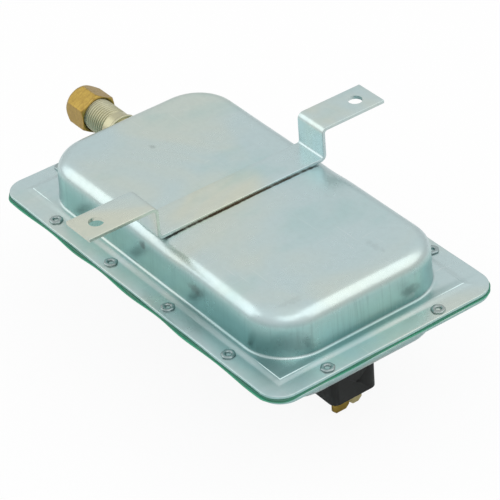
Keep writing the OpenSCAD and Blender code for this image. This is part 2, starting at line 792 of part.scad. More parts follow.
module fixed_contact_no() {
    color([0.84, 0.85, 0.86]) translate([contact_x, 0, no_face - fixed_t])
        cylinder(r = contact_r, h = fixed_t);
}

// Upright terminal plate with a chamfered tip and a latch hole, seen along X
module tab(x, y, w, z0, z1) {
    tip = 1.3;
    hole_up = 4;
    translate([x - tab_t / 2, y, 0]) rotate([90, 0, 90]) linear_extrude(tab_t) difference() {
        polygon([[-w / 2 + tip, z0], [w / 2 - tip, z0], [w / 2, z0 + tip], [w / 2, z1],
            [-w / 2, z1], [-w / 2, z0 + tip]]);
        translate([0, z0 + hole_up]) circle(r = w / 7, $fn = 24);
    }
}

module terminal_common() {
    color([0.80, 0.68, 0.30])
        tab(com_x, 0, tab_no_w, case_bot - tab_no_drop, blade_z - blade_t / 2 - contact_gap);
}

module terminal_no() {
    arm_top = no_face - fixed_t;
    color([0.80, 0.68, 0.30]) union() {
        tab(no_x, no_y, tab_no_w, case_bot - tab_no_drop, arm_top);
        block([arm_x0, -arm_half_w, arm_top - arm_t], [no_x, arm_half_w, arm_top]);
    }
}

module terminal_nc() {
    arm_bot = nc_face + fixed_t;
    color([0.82, 0.78, 0.62]) union() {
        tab(nc_x, nc_y, tab_nc_w, case_bot - tab_nc_drop, arm_bot + arm_t);
        block([arm_x0, -arm_half_w, arm_bot], [nc_x, arm_half_w, arm_bot + arm_t]);
    }
}

module switch_screws() {
    slot_w = 0.8;
    color([0.74, 0.76, 0.76]) for (x = screw_places) translate([x, 0, screw_z]) difference() {
        union() {
            bar_y(screw_r, -bracket_out, bracket_out + nut_hex_t + 0.8);
            bar_y(head_r, -bracket_out - head_t, -bracket_out);
        }
        block([-head_r - over, -bracket_out - head_t - over, -slot_w / 2],
            [head_r + over, -bracket_out - head_t / 2, slot_w / 2]);
    }
}

module switch_nuts() {
    color([0.74, 0.76, 0.76]) for (x = screw_places) translate([x, bracket_out, screw_z])
        rotate([-90, 0, 0]) difference() {
            cylinder(r = nut_hex_af / 2 / cos(30), h = nut_hex_t, $fn = 6);
            translate([0, 0, -over]) cylinder(r = screw_r, h = nut_hex_t + 2 * over);
        }
}

at_mount() upper_shell();
at_mount() lower_shell();
at_mount() rim_gasket();
at_mount() diaphragm();
at_mount() diaphragm_plate_upper();
at_mount() diaphragm_plate_lower();
at_mount() centre_rivet();
at_mount() flange_rivets();
at_mount() mounting_strap();
at_mount() port_fitting();
at_mount() ferrule();
at_mount() compression_nut();
at_mount() trip_lever();
at_mount() lever_bracket();
at_mount() pivot_pin();
at_mount() spring_cup();
at_mount() calibration_spring();
at_mount() spring_housing();
at_mount() spring_seat();
at_mount() range_screw();
at_mount() pin_guide();
at_mount() push_pin();
at_mount() switch_bracket();
at_mount() switch_housing();
at_mount() switch_cover();
at_mount() switch_plunger();
at_mount() snap_blade();
at_mount() moving_contact();
at_mount() fixed_contact_nc();
at_mount() fixed_contact_no();
at_mount() terminal_common();
at_mount() terminal_nc();
at_mount() terminal_no();
at_mount() switch_screws();
at_mount() switch_nuts();
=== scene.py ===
import math

import bmesh
import bpy
import numpy as np
from bpy.props import FloatProperty, FloatVectorProperty, IntProperty, PointerProperty
from mathutils import Matrix, Vector


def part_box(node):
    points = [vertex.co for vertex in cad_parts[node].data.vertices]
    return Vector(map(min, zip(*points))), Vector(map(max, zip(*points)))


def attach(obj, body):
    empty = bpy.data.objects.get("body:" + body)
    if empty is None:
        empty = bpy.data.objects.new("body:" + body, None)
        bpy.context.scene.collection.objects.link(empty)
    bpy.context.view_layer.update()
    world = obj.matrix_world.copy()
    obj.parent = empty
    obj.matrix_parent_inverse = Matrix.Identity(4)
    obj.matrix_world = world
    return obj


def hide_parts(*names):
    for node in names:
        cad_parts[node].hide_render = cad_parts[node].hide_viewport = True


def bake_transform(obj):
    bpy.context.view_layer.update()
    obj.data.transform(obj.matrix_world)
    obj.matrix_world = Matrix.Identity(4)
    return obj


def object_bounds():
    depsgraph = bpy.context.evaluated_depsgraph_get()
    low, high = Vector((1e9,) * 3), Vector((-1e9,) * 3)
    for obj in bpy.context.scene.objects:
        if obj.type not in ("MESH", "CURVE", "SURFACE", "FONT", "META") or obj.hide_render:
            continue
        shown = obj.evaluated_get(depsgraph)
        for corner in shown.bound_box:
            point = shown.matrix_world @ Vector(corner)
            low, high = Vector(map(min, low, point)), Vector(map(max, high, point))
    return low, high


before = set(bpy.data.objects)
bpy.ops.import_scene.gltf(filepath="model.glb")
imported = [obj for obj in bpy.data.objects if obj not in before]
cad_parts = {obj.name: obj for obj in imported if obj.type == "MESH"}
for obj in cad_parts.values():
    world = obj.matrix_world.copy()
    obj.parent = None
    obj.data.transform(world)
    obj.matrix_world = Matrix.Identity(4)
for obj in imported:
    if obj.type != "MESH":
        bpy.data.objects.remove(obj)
cad_lo, cad_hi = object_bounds()

bl_info = {
    "name": "Diaphragm Pressure Switch",
    "version": (1, 0, 0),
    "blender": (4, 5, 0),
    "location": "View3D > Sidebar > Pressure Switch",
    "description": "Finished surfaces of a riveted sheet steel pressure switch, round its packed CAD frame",
    "category": "Object",
}

MM = 0.001

# Places read from the frame, in metres
shell_lo, shell_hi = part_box("upper_shell")
pan_lo, pan_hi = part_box("lower_shell")
gasket_lo, gasket_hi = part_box("rim_gasket")
membrane_lo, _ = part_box("diaphragm")
strap_lo, strap_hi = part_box("mounting_strap")
fitting_lo, fitting_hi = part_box("port_fitting")
nut_lo, nut_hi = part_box("compression_nut")
housing_lo, housing_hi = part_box("spring_housing")
spring_lo, spring_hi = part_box("calibration_spring")
case_lo, case_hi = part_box("switch_housing")
FLANGE_X = (shell_lo.x + shell_hi.x) / 2
FLANGE_HX = (shell_hi.x - shell_lo.x) / 2
FLANGE_HY = (shell_hi.y - shell_lo.y) / 2
PORT_Z = (nut_lo.z + nut_hi.z) / 2


def length(name, description, default):
    """A size in metres, shown in the scene's unit."""
    return FloatProperty(name=name, description=description, default=default, min=0.0, unit="LENGTH",
                         precision=5)


def colour(name, description, default):
    """A linear colour."""
    return FloatVectorProperty(name=name, description=description, default=default, size=3, subtype="COLOR",
                               min=0.0, max=1.0)


def share(name, description, default):
    """A plain number from 0 to 1."""
    return FloatProperty(name=name, description=description, default=default, min=0.0, max=1.0,
                         subtype="FACTOR")


class PSW_ShellSizes(bpy.types.PropertyGroup):
    """Sizes of the two drawn shells"""
    sheet: length("Sheet", "Thickness of the drawn sheet", 1.0 * MM)
    flange_corner: length("Flange corner", "Plan radius of the flange corners", 7.5 * MM)
    dome_inset_x: length("Dome inset X", "From the flange's short edge to the dome wall", 10.5 * MM)
    dome_inset_y: length("Dome inset Y", "From the flange's long edge to the dome wall", 9.05 * MM)
    dome_corner: length("Dome corner", "Plan radius of the dome's corners", 15.5 * MM)
    shoulder: length("Shoulder", "Radius of the rolled top edge", 5.0 * MM)
    step_inset_x: length("Step inset X", "From the flange's short edge to the coined step", 7.9 * MM)
    step_inset_y: length("Step inset Y", "From the flange's long edge to the coined step", 7.65 * MM)
    step_height: length("Step height", "Height of the coined step", 0.5 * MM)
    step_crease: length("Step crease", "Half width of the crisp crease at the step's corners", 0.13 * MM)
    base_fillet: length("Base fillet", "Radius where the wall meets the ledge", 0.9 * MM)
    wall_draft: length("Wall draft", "How far the wall leans in from its foot to its top", 0.25 * MM)
    crown: length("Crown", "Rise of the middle of the dome", 0.30 * MM)
    dent: length("Dent", "Depth of the dents beside the ends of the strap", 0.55 * MM)
    buckle: length("Buckle", "Unevenness of the drawn faces", 0.05 * MM)


class PSW_RimSizes(bpy.types.PropertyGroup):
    """Sizes of the gasket, the diaphragm and the rivets"""
    roll: length("Roll", "Radius of the diaphragm's convolution", 4.0 * MM)
    centre_gap: length("Centre gap", "Between the clamped centre and the convolution", 0.15 * MM)
    bulge: length("Bulge", "How far the soft layers squeeze out between rivets", 1.15 * MM)
    rivet_pitch: length("Rivet pitch", "Spacing of the rivets along the long edges", 146 * MM / 4.8)
    rivet_inset_x: length("Rivet inset X", "From the flange's short edge to its rivets", 3.33 * MM)
    rivet_inset_y: length("Rivet inset Y", "From the flange's long edge to its rivets", 3.58 * MM)
    rivet_end_y: length("Rivet end Y", "From the middle to the rivets of the short edges", 84.5 * MM / 4.053)
    rivet_head: length("Rivet head", "Outer radius of the rolled head", 2.2 * MM)
    rivet_bore: length("Rivet bore", "Radius of the hollow in the rivet", 0.85 * MM)
    rivet_height: length("Rivet height", "Height of the rolled head above the flange", 0.60 * MM)


class PSW_StrapSizes(bpy.types.PropertyGroup):
    """Sizes of the mounting strap and the switch bracket"""
    thickness: length("Thickness", "Thickness of the strap", 1.2 * MM)
    bend: length("Bend", "Inner radius of the strap's bends", 0.9 * MM)
    riser: length("Riser", "From the middle of the strap to the riser's inner face", 31.0 * MM)
    hole_pitch: length("Hole pitch", "Distance between the two mounting holes", 98.4 * MM)
    hole: length("Hole", "Radius of the mounting holes", 2.4 * MM)
    edge: length("Edge", "Rounding of sheared edges", 0.16 * MM)


class PSW_PortSizes(bpy.types.PropertyGroup):
    """Sizes of the threaded fitting and its nut"""
    thread: length("Thread radius", "Radius of the thread's crests", 5.56 * MM)
    depth: length("Thread depth", "Depth of the thread", 0.50 * MM)
    pitch: length("Thread pitch", "Distance between two crests", 1.058 * MM)
    plain: length("Plain length", "Unthreaded length next to the dome", 4.3 * MM)
    tube: length("Tube radius", "Radius of the socket for the sample tube", 3.25 * MM)
    chamfer: length("Nut chamfer", "Chamfer on the ends of the nut", 0.9 * MM)


class PSW_Finishes(bpy.types.PropertyGroup):
    """Colours of the finishes, as linear light"""
    zinc: colour("Zinc", "Bright zinc plating", (0.50, 0.62, 0.63))
    # Also painted shade: this colour darkens upright walls as well as tinting them and the bluish patches.
    zinc_film_and_wall_shade: colour("Film", "Blue-green passivation film on drawn walls", (0.29, 0.52, 0.50))
    zinc_straw: colour("Straw", "Yellowish tint of the film", (0.62, 0.64, 0.53))
    fitting: colour("Fitting", "Yellow-tinted plating on the fitting", (0.56, 0.55, 0.40))
    brass_nut: colour("Nut brass", "Dull cut brass", (0.42, 0.29, 0.07))
    brass_tab: colour("Tab brass", "Stamped brass", (0.52, 0.37, 0.08))
    gasket: colour("Gasket", "Green coated fabric of the gasket", (0.020, 0.175, 0.110))
    membrane: colour("Diaphragm", "Green coated fabric of the diaphragm", (0.050, 0.330, 0.195))
    case: colour("Case", "Moulded black switch case", (0.012, 0.0135, 0.013))


class PSW_StageSettings(bpy.types.PropertyGroup):
    """Floor"""
    floor: share("Floor", "Brightness of the floor", 0.86)


# ---------------------------------------------------------------- surfaces

def is_inside_out(points, quads, tris):
    """True if a closed mesh's faces point inwards: its signed tetrahedra from the origin sum below zero."""
    t = np.concatenate([quads[:, [0, 1, 2]], quads[:, [0, 2, 3]], tris])
    a, b, c = points[t[:, 0]], points[t[:, 1]], points[t[:, 2]]
    return np.einsum("ij,ij->i", a, np.cross(b, c)).sum() < 0


def surface(name, grid, loop=False, sharp=40.0):
    """Mesh of a grid of points [row, column, xyz] that closes round its columns. With loop, the last row
    joins the first, as on a ring; without, each end row closes on a middle point. Faces are turned outwards."""
    rows, cols = grid.shape[:2]
    points = grid.reshape(-1, 3)
    r, c = np.meshgrid(np.arange(rows if loop else rows - 1), np.arange(cols), indexing="ij")
    r1, c1 = (r + 1) % rows, (c + 1) % cols
    quads = np.stack([r * cols + c, r * cols + c1, r1 * cols + c1, r1 * cols + c], -1).reshape(-1, 4)
    tris = np.zeros((0, 3), int)
    if not loop:
        k = np.arange(cols)
        k1 = (k + 1) % cols
        last = (rows - 1) * cols
        first_fan = np.stack([k1, k, np.full(cols, len(points))], -1)
        last_fan = np.stack([last + k, last + k1, np.full(cols, len(points) + 1)], -1)
        tris = np.concatenate([first_fan, last_fan])
        points = np.concatenate([points, grid[[0, -1]].mean(axis=1)])
    if is_inside_out(points - points.mean(axis=0), quads, tris):
        quads, tris = quads[:, ::-1], tris[:, ::-1]
    return put_mesh(name, points, quads.tolist() + tris.tolist(), sharp)


def put_mesh(name, points, faces, sharp=40.0):
    """Object holding the points and faces, smooth except along edges bent more than the sharp angle."""
    mesh = bpy.data.meshes.new(name)
    mesh.from_pydata(points.tolist(), [], faces)
    mesh.shade_smooth()
    mesh.set_sharp_from_angle(angle=math.radians(sharp))
    piece = bpy.data.objects.new(name, mesh)
    bpy.context.scene.collection.objects.link(piece)
    return piece


def settle(piece):
    """Bakes a piece's modifiers into its mesh."""
    graph = bpy.context.evaluated_depsgraph_get()
    mesh = bpy.data.meshes.new_from_object(piece.evaluated_get(graph))
    piece.modifiers.clear()
    piece.data = mesh
    return piece


def drill(piece, cutters):
    """Cuts each cutter out of the piece, then removes the cutters."""
    for cutter in cutters:
        cut = piece.modifiers.new("hole", "BOOLEAN")
        cut.operation = "DIFFERENCE"
        cut.solver = "EXACT"
        cut.object = cutter
    settle(piece)
    for cutter in cutters:
        bpy.data.objects.remove(cutter)
    piece.data.shade_smooth()
    piece.data.set_sharp_from_angle(angle=math.radians(35))
    return piece


def peg(centre, radius, half, axis="Z", sides=48):
    """Closed cylinder for cutting: radius times (cosine, sine) of the turn, at two stations on the axis."""
    turn = np.linspace(0, 2 * np.pi, sides, endpoint=False)
    ring = np.stack([radius * np.cos(turn), radius * np.sin(turn), np.zeros(sides)], -1)
    grid = np.stack([ring + [0, 0, -half], ring + [0, 0, half]])
    order = {"Z": [0, 1, 2], "Y": [0, 2, 1], "X": [2, 0, 1]}[axis]
    return surface("cutter", grid[:, :, order] + np.array(centre))


def dressed_copy(node, name, bevel, segments=2, angle=32.0):
    """A copy of a CAD node with its doubled points merged, flat faces joined and edges rounded."""
    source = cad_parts[node].data
    work = bmesh.new()
    work.from_mesh(source)
    bmesh.ops.remove_doubles(work, verts=work.verts, dist=1e-7)
    bmesh.ops.dissolve_limit(work, angle_limit=math.radians(0.5), verts=work.verts, edges=work.edges)
    mesh = bpy.data.meshes.new(name)
    work.to_mesh(mesh)
    work.free()
    mesh.materials.clear()
    mesh.shade_smooth()
    mesh.set_sharp_from_angle(angle=math.radians(angle))
    piece = bpy.data.objects.new(name, mesh)
    bpy.context.scene.collection.objects.link(piece)
    round_off = piece.modifiers.new("edges", "BEVEL")
    round_off.width = bevel
    round_off.segments = segments
    round_off.limit_method = "ANGLE"
    round_off.angle_limit = math.radians(angle)
    round_off.harden_normals = True
    return settle(piece)


def fit_out(piece, body, slot, material, *nodes):
    """Gives a piece its finish and its body, and hides the CAD nodes that it stands for. The slot is not used.
    """
    piece.data.materials.clear()
    piece.data.materials.append(material)
    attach(piece, body)
    if nodes:
        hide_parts(*nodes)
    return piece


# Samples round a rounded rectangle: how far along each half side a point's corner centre lies, and its
# direction
LONG_SIDE, SHORT_SIDE, CORNER = 56, 24, 20


def perimeter():
    """Walks once round a rounded rectangle. Each sample has two shares, of the corner centre's x and y, and
    the outward angle. On a straight the angle stands still and one share runs from -1 to 1; on a corner the
    shares stand still and the angle turns by a quarter."""
    kx, ky, angle = [], [], []
    for quarter in range(4):
        start = quarter * np.pi / 2
        count = SHORT_SIDE if quarter % 2 == 0 else LONG_SIDE
        run = np.linspace(-1, 1, count, endpoint=False)
        ahead = np.array([np.cos(start), np.sin(start)])
        along = np.array([-np.sin(start), np.cos(start)])
        straight = np.round(ahead)[None, :] + run[:, None] * np.round(along)[None, :]
        kx.append(straight[:, 0])
        ky.append(straight[:, 1])
        angle.append(np.full(count, start))
        corner = np.round(ahead + along)
        kx.append(np.full(CORNER, corner[0]))
        ky.append(np.full(CORNER, corner[1]))
        angle.append(start + np.linspace(0, np.pi / 2, CORNER, endpoint=False))
    return np.concatenate(kx), np.concatenate(ky), np.concatenate(angle)


SHARE_X, SHARE_Y, ANGLE = perimeter()


def outlines(hx, hy, r, z):
    """Rounded rectangles as rows: corner centre plus radius times the outward direction, at each height."""
    hx, hy, r, z = (np.asarray(q, float)[:, None] for q in np.broadcast_arrays(hx, hy, r, z))
    x = SHARE_X * (hx - r) + r * np.cos(ANGLE)
    y = SHARE_Y * (hy - r) + r * np.sin(ANGLE)
    return np.stack([x, y, np.broadcast_to(z, x.shape)], -1)


def ease(t):
    """Smooth step from 0 to 1."""
    t = np.clip(t, 0, 1)
    return t * t * (3 - 2 * t)


def bump_at(x, y, cx, cy, rx, ry):
    """Bell of height 1 at (cx, cy), with half widths rx and ry."""
    return np.exp(-((x - cx) / rx) ** 2 - ((y - cy) / ry) ** 2)


def stamping_rows(s, height, edge_in_x, edge_in_y):
    """Rows of a drawn shell's closed surface, from the middle of the dome, over the shoulder and down the
    wall to the flange's edge, then back under it to the inside of the dome. The flange's top is at height 0.
    The coined step is a smooth step of the distance past a sharp-cornered rectangle: a worn slope all round,
    mixed with a narrow crisp one near the corners."""
    dome_hx, dome_hy = FLANGE_HX - s.dome_inset_x, FLANGE_HY - s.dome_inset_y
    step_hx, step_hy = FLANGE_HX - s.step_inset_x, FLANGE_HY - s.step_inset_y
    rows = []

    def add(hx, hy, r, z):
        rows.append(outlines(hx, hy, r, z))

    def dome(inset, drop, top_shares, foot, fillet):
        """Top, shoulder, wall and foot of one side of the sheet, inset from the outer face."""
        hx, hy, r = dome_hx - inset, dome_hy - inset, s.dome_corner - inset
        roll = s.shoulder - inset
        lean = s.wall_draft
        top = height - drop
        k = top_shares
        add(k * (hx - roll - lean), k * (hy - roll - lean), k * (r - roll - lean), top + 0 * k)
        turn = np.linspace(np.pi / 2, 0, 14)[1:]
        back = roll * (1 - np.cos(turn)) + lean
        add(hx - back, hy - back, r - back, top - roll + roll * np.sin(turn))
        t = np.linspace(0, 1, 7)[1:-1]
        add(hx - lean * (1 - t), hy - lean * (1 - t), r - lean * (1 - t),
            (top - roll) * (1 - t) + (foot + fillet) * t)
        turn = np.linspace(0, np.pi / 2, 9)
        out = fillet * (1 - np.cos(turn))
        add(hx + out, hy + out, r + out, foot + fillet * (1 - np.sin(turn)))

    shares = np.linspace(0, 1, 34)[1:] ** 0.9
    dome(0.0, 0.0, shares, s.step_height, s.base_fillet)
    brim_r, mitre = 0.2 * MM, 0.25 * MM
    before, span = 0.4 * MM, 2.2 * MM
    foot_hx, foot_hy, foot_r = (q + s.base_fillet for q in (dome_hx, dome_hy, s.dome_corner))
    gap_x, gap_y = 0.1 * MM, 0.05 * MM
    ledge_x, ledge_y = step_hx - foot_hx - gap_x, step_hy - foot_hy - gap_y
    t = np.linspace(0, 1, 9)[1:-1]
    add(foot_hx + gap_x * t, foot_hy + gap_y * t, foot_r + (mitre - foot_r) * t, s.step_height + 0 * t)
    spread = np.linspace(-1, 1, 37)
    past = np.sign(spread) * np.abs(spread) ** 1.7
    add(step_hx + past * np.where(past < 0, ledge_x, span),
        step_hy + past * np.where(past < 0, ledge_y, span),
        mitre + 0 * past, 0 * past)
    ledge = rows[-1]
    past = np.maximum(np.abs(ledge[..., 0]) - step_hx, np.abs(ledge[..., 1]) - step_hy)
    inward = np.maximum(step_hx - np.abs(ledge[..., 0]), 0) + np.maximum(step_hy - np.abs(ledge[..., 1]), 0)
    crease = 0.30 * ease(1.5 - inward / (9 * MM))
    worn = 1 - ease((past + before) / (before + span))
    crisp = 1 - ease(0.5 + past / (2 * s.step_crease))
    ledge[..., 2] = s.step_height * ((1 - crease) * worn + crease * crisp)
    hx, hy = FLANGE_HX - brim_r - edge_in_x, FLANGE_HY - brim_r - edge_in_y
    t = np.linspace(0, 1, 11)[1:]
    r_out = s.flange_corner - brim_r
    add(step_hx + span + (hx - step_hx - span) * t, step_hy + span + (hy - step_hy - span) * t,
        mitre + (r_out - mitre) * t, 0 * t)
    turn = np.linspace(np.pi / 2, -np.pi / 2, 9)[1:-1]
    down = np.where(turn > 0, 0.0, -(s.sheet - 2 * brim_r))
    add(hx + brim_r * np.cos(turn), hy + brim_r * np.cos(turn),
        s.flange_corner - brim_r + brim_r * np.cos(turn),
        -brim_r + down + brim_r * np.sin(turn))
    under_hx, under_hy, under_r, rise = step_hx - 0.3 * MM, step_hy - 0.3 * MM, 1.2 * MM, 0.7 * MM
    t = np.linspace(1, 0, 4)
    add(under_hx + (hx - under_hx) * t, under_hy + (hy - under_hy) * t,
        under_r + (s.flange_corner - under_r) * t, -s.sheet + 0 * t)
    t = np.linspace(0, 1, 5)[1:]
    add(under_hx - rise * t, under_hy - rise * t, under_r + 0 * t, -s.sheet + s.step_height * ease(t))
    inner = len(rows)
    dome(s.sheet, s.sheet, shares, 0.0, 0.3 * MM)
    rows[inner:] = [np.concatenate(rows[inner:])[::-1]]
    return np.concatenate(rows)


def worked_sheet(grid, s, height, dents):
    """Adds what press and handling leave: a crown, dents, a faint buckle of the faces, a wavy flange."""
    x, y, z = grid[..., 0], grid[..., 1], grid[..., 2]
    high = ease((z - (height - 6.5 * MM)) / (4.5 * MM))
    low = 1 - ease(z / s.step_height)
    hx, hy = FLANGE_HX - s.dome_inset_x, FLANGE_HY - s.dome_inset_y
    crown = s.crown * (1 - (x / hx) ** 2) * (1 - (y / hy) ** 2)
    folds = np.sin(x / (9.3 * MM) + 1.7 * np.sin(y / (13 * MM)))
    ripples = np.sin(y / (6.1 * MM) + x / (17 * MM))
    buckle = s.buckle * (folds + 0.7 * ripples)
    sink = sum(depth * bump_at(x, y, cx, cy, rx, ry) for cx, cy, rx, ry, depth in dents)
    pitch = bpy.context.scene.psw_rim.rivet_pitch
    wave = 0.07 * MM * np.cos(2 * np.pi * (x - pitch / 2) / pitch) + 0.04 * MM * np.sin(y / (5.2 * MM))
    lifted = grid.copy()
    lifted[..., 2] = z + high * (crown + buckle - sink) - low * wave
    return lifted


def place(grid, offset, flip=False):
    """Moves a grid to its place, turned upside down in Z where flip is set."""
    turned = grid * np.array([1, 1, -1 if flip else 1])
    return turned + np.array(offset)


# ---------------------------------------------------------------- finishes

def add(tree, kind, inputs=None, **settings):
    """New node with its settings, its inputs set to values or linked to sockets."""
    node = tree.nodes.new(kind)
    for key, value in settings.items():
        setattr(node, key, value)
    for key, value in (inputs or {}).items():
        if isinstance(value, bpy.types.NodeSocket):
            tree.links.new(value, node.inputs[key])
        else:
            node.inputs[key].default_value = value
    return node


def group(name, inputs, outputs):
    """Empty node group with named inputs {name: (type, default)} and outputs {name: type}."""
    tree = bpy.data.node_groups.new(name, "ShaderNodeTree")
    for key, (kind, default) in inputs.items():
        socket = tree.interface.new_socket(key, in_out="INPUT", socket_type=kind)
        if default is not None:
            socket.default_value = default
    for key, kind in outputs.items():
        tree.interface.new_socket(key, in_out="OUTPUT", socket_type=kind)
    return tree, tree.nodes.new("NodeGroupInput"), tree.nodes.new("NodeGroupOutput")


def remap(tree, value, low, high, to_low, to_high):
    """Value moved from one range to another, held at its ends."""
    node = add(tree, "ShaderNodeMapRange", {"Value": value, "From Min": low, "From Max": high,
                                            "To Min": to_low,
                                            "To Max": to_high}, clamp=True, interpolation_type="SMOOTHSTEP")
    return node.outputs["Result"]


def noise(tree, vector, scale, detail=2.0, rough=0.5, distortion=0.0):
    """Noise value at a position."""
    node = add(tree, "ShaderNodeTexNoise", {"Vector": vector, "Scale": scale, "Detail": detail,
                                            "Roughness": rough,
                                            "Distortion": distortion})
    return node.outputs["Fac"]


def stretched(tree, vector, factors):
    """Position scaled along each axis."""
    return add(tree, "ShaderNodeVectorMath", {0: vector, 1: factors}, operation="MULTIPLY").outputs[0]


def math_node(tree, operation, a, b=0.0):
    """One sum on two numbers."""
    return add(tree, "ShaderNodeMath", {0: a, 1: b}, operation=operation).outputs[0]


def blend_colour(tree, factor, a, b, mode="MIX"):
    """Two colours mixed by a factor."""
    node = tree.nodes.new("ShaderNodeMix")
    node.data_type = "RGBA"
    node.blend_type = mode
    sockets = {"Factor": node.inputs[0], "A": node.inputs[6], "B": node.inputs[7]}
    for key, value in (("Factor", factor), ("A", a), ("B", b)):
        if isinstance(value, bpy.types.NodeSocket):
            tree.links.new(value, sockets[key])
        else:
            sockets[key].default_value = value
    return node.outputs[2]


def opaque(rgb):
    """Colour with full alpha."""
    return (rgb[0], rgb[1], rgb[2], 1.0)


def plating_group():
    """Zinc plating: a pale metal colour, straw and bluish patches, the blue-green film colour on upright faces
    as their tint and as painted shade, fine upright streaks left by drawing, small dark specks, and a roughness
    that follows them."""
    tree, source, result = group("Plating film", {
        "Position": ("NodeSocketVector", None), "Upright": ("NodeSocketFloat", 0.0),
        "Metal": ("NodeSocketColor", (0.6, 0.6, 0.6, 1)), "Film": ("NodeSocketColor", (0.3, 0.4, 0.4, 1)),
        "Straw": ("NodeSocketColor", (0.6, 0.6, 0.4, 1)), "Straw amount": ("NodeSocketFloat", 0.5),
        "Streaks": ("NodeSocketFloat", 1.0), "Roughness": ("NodeSocketFloat", 0.3)},
        {"Color": "NodeSocketColor", "Roughness": "NodeSocketFloat", "Height": "NodeSocketFloat"})
    at = source.outputs
    broad = noise(tree, at["Position"], 17.0, 3.0, 0.5, 0.8)
    cloud = noise(tree, stretched(tree, at["Position"], (60.0, 36.0, 60.0)), 1.0, 3.0, 0.55, 0.4)
    fine = noise(tree, at["Position"], 520.0, 4.0, 0.6)
    tiny = noise(tree, at["Position"], 2600.0, 2.0, 0.5)
    drawn = noise(tree, stretched(tree, at["Position"], (1100.0, 1100.0, 22.0)), 1.0, 4.0, 0.65)
    straw = math_node(tree, "MULTIPLY", remap(tree, broad, 0.44, 0.66, 0.0, 1.0), at["Straw amount"])
    metal = blend_colour(tree, straw, at["Metal"], at["Straw"])
    bluish = blend_colour(tree, remap(tree, cloud, 0.5, 0.75, 0.0, 0.28), metal, at["Film"])
    # Upright faces take the film colour: partly the drawn walls' own tint, partly painted shade that darkens
    # them.
    walls = blend_colour(tree, at["Upright"], bluish, at["Film"])
    streaked = math_node(tree, "MULTIPLY", math_node(tree, "MULTIPLY",
                                                     remap(tree, drawn, 0.48, 0.75, 0.0, 0.30),
                                                     at["Upright"]), at["Streaks"])
    dark = blend_colour(tree, streaked, walls, (0.13, 0.20, 0.19, 1))
    mottled = blend_colour(tree, remap(tree, fine, 0.35, 0.8, 0.0, 0.10), dark, (0.30, 0.35, 0.34, 1))
    speck = remap(tree, tiny, 0.72, 0.82, 0.0, 0.15)
    specked = blend_colour(tree, speck, mottled, (0.16, 0.18, 0.17, 1))
    uneven = math_node(tree, "MULTIPLY", math_node(tree, "SUBTRACT", fine, 0.5), 0.12)
    patchy = math_node(tree, "MULTIPLY", math_node(tree, "SUBTRACT", cloud, 0.5), 0.22)
    lined = math_node(tree, "MULTIPLY", streaked, 0.15)
    roughness = math_node(tree, "ADD", math_node(tree, "ADD", at["Roughness"], lined),
                          math_node(tree, "ADD", uneven, patchy))
    tree.links.new(specked, result.inputs["Color"])
    tree.links.new(roughness, result.inputs["Roughness"])
    tree.links.new(math_node(tree, "ADD", math_node(tree, "MULTIPLY", fine, 0.5),
                             math_node(tree, "MULTIPLY", tiny, 0.3)),
                   result.inputs["Height"])
    return tree


def spots_group():
    """A soft round mark at a place: one inside its radius and zero outside, broken up by noise."""
    tree, source, result = group("Soft mark", {
        "Position": ("NodeSocketVector", None), "Place": ("NodeSocketVector", (0, 0, 0)),
        "Stretch": ("NodeSocketVector", (1, 1, 1)), "Radius": ("NodeSocketFloat", 0.003),
        "Ragged": ("NodeSocketFloat", 1.0)},
        {"Mask": "NodeSocketFloat"})
    at = source.outputs
    away = add(tree, "ShaderNodeVectorMath", {0: at["Position"], 1: at["Place"]},
               operation="SUBTRACT").outputs[0]
    scaled = add(tree, "ShaderNodeVectorMath", {0: away, 1: at["Stretch"]}, operation="MULTIPLY").outputs[0]
    span = add(tree, "ShaderNodeVectorMath", {0: scaled}, operation="LENGTH").outputs["Value"]
    stray = math_node(tree, "SUBTRACT", noise(tree, at["Position"], 650.0, 3.0), 0.5)
    edge = math_node(tree, "MULTIPLY", at["Radius"], at["Ragged"])
    ragged = math_node(tree, "ADD", span, math_node(tree, "MULTIPLY", stray, edge))
    inside = math_node(tree, "SUBTRACT", 1.0, math_node(tree, "DIVIDE", ragged, at["Radius"]))
    tree.links.new(remap(tree, inside, 0.0, 0.7, 0.0, 1.0), result.inputs["Mask"])
    return tree


def marks_group():
    """Handling marks: sparse hairline scratches in two directions, as a mask and a height."""
    tree, source, result = group("Handling marks", {
        "Position": ("NodeSocketVector", None), "Amount": ("NodeSocketFloat", 1.0)},
        {"Mask": "NodeSocketFloat", "Height": "NodeSocketFloat"})
    at = source.outputs
    first = noise(tree, stretched(tree, at["Position"], (60.0, 2600.0, 300.0)), 1.0, 1.0, 0.4, 0.4)
    second = noise(tree, stretched(tree, at["Position"], (1900.0, 90.0, 260.0)), 1.0, 1.0, 0.4, 0.5)
    lines = math_node(tree, "MAXIMUM", remap(tree, first, 0.70, 0.74, 0.0, 1.0),
                      remap(tree, second, 0.71, 0.75, 0.0, 1.0))
    where = remap(tree, noise(tree, at["Position"], 55.0, 2.0), 0.45, 0.65, 0.0, 1.0)
    mask = math_node(tree, "MULTIPLY", math_node(tree, "MULTIPLY", lines, where), at["Amount"])
    tree.links.new(mask, result.inputs["Mask"])
    tree.links.new(math_node(tree, "MULTIPLY", mask, -1.0), result.inputs["Height"])
    return tree


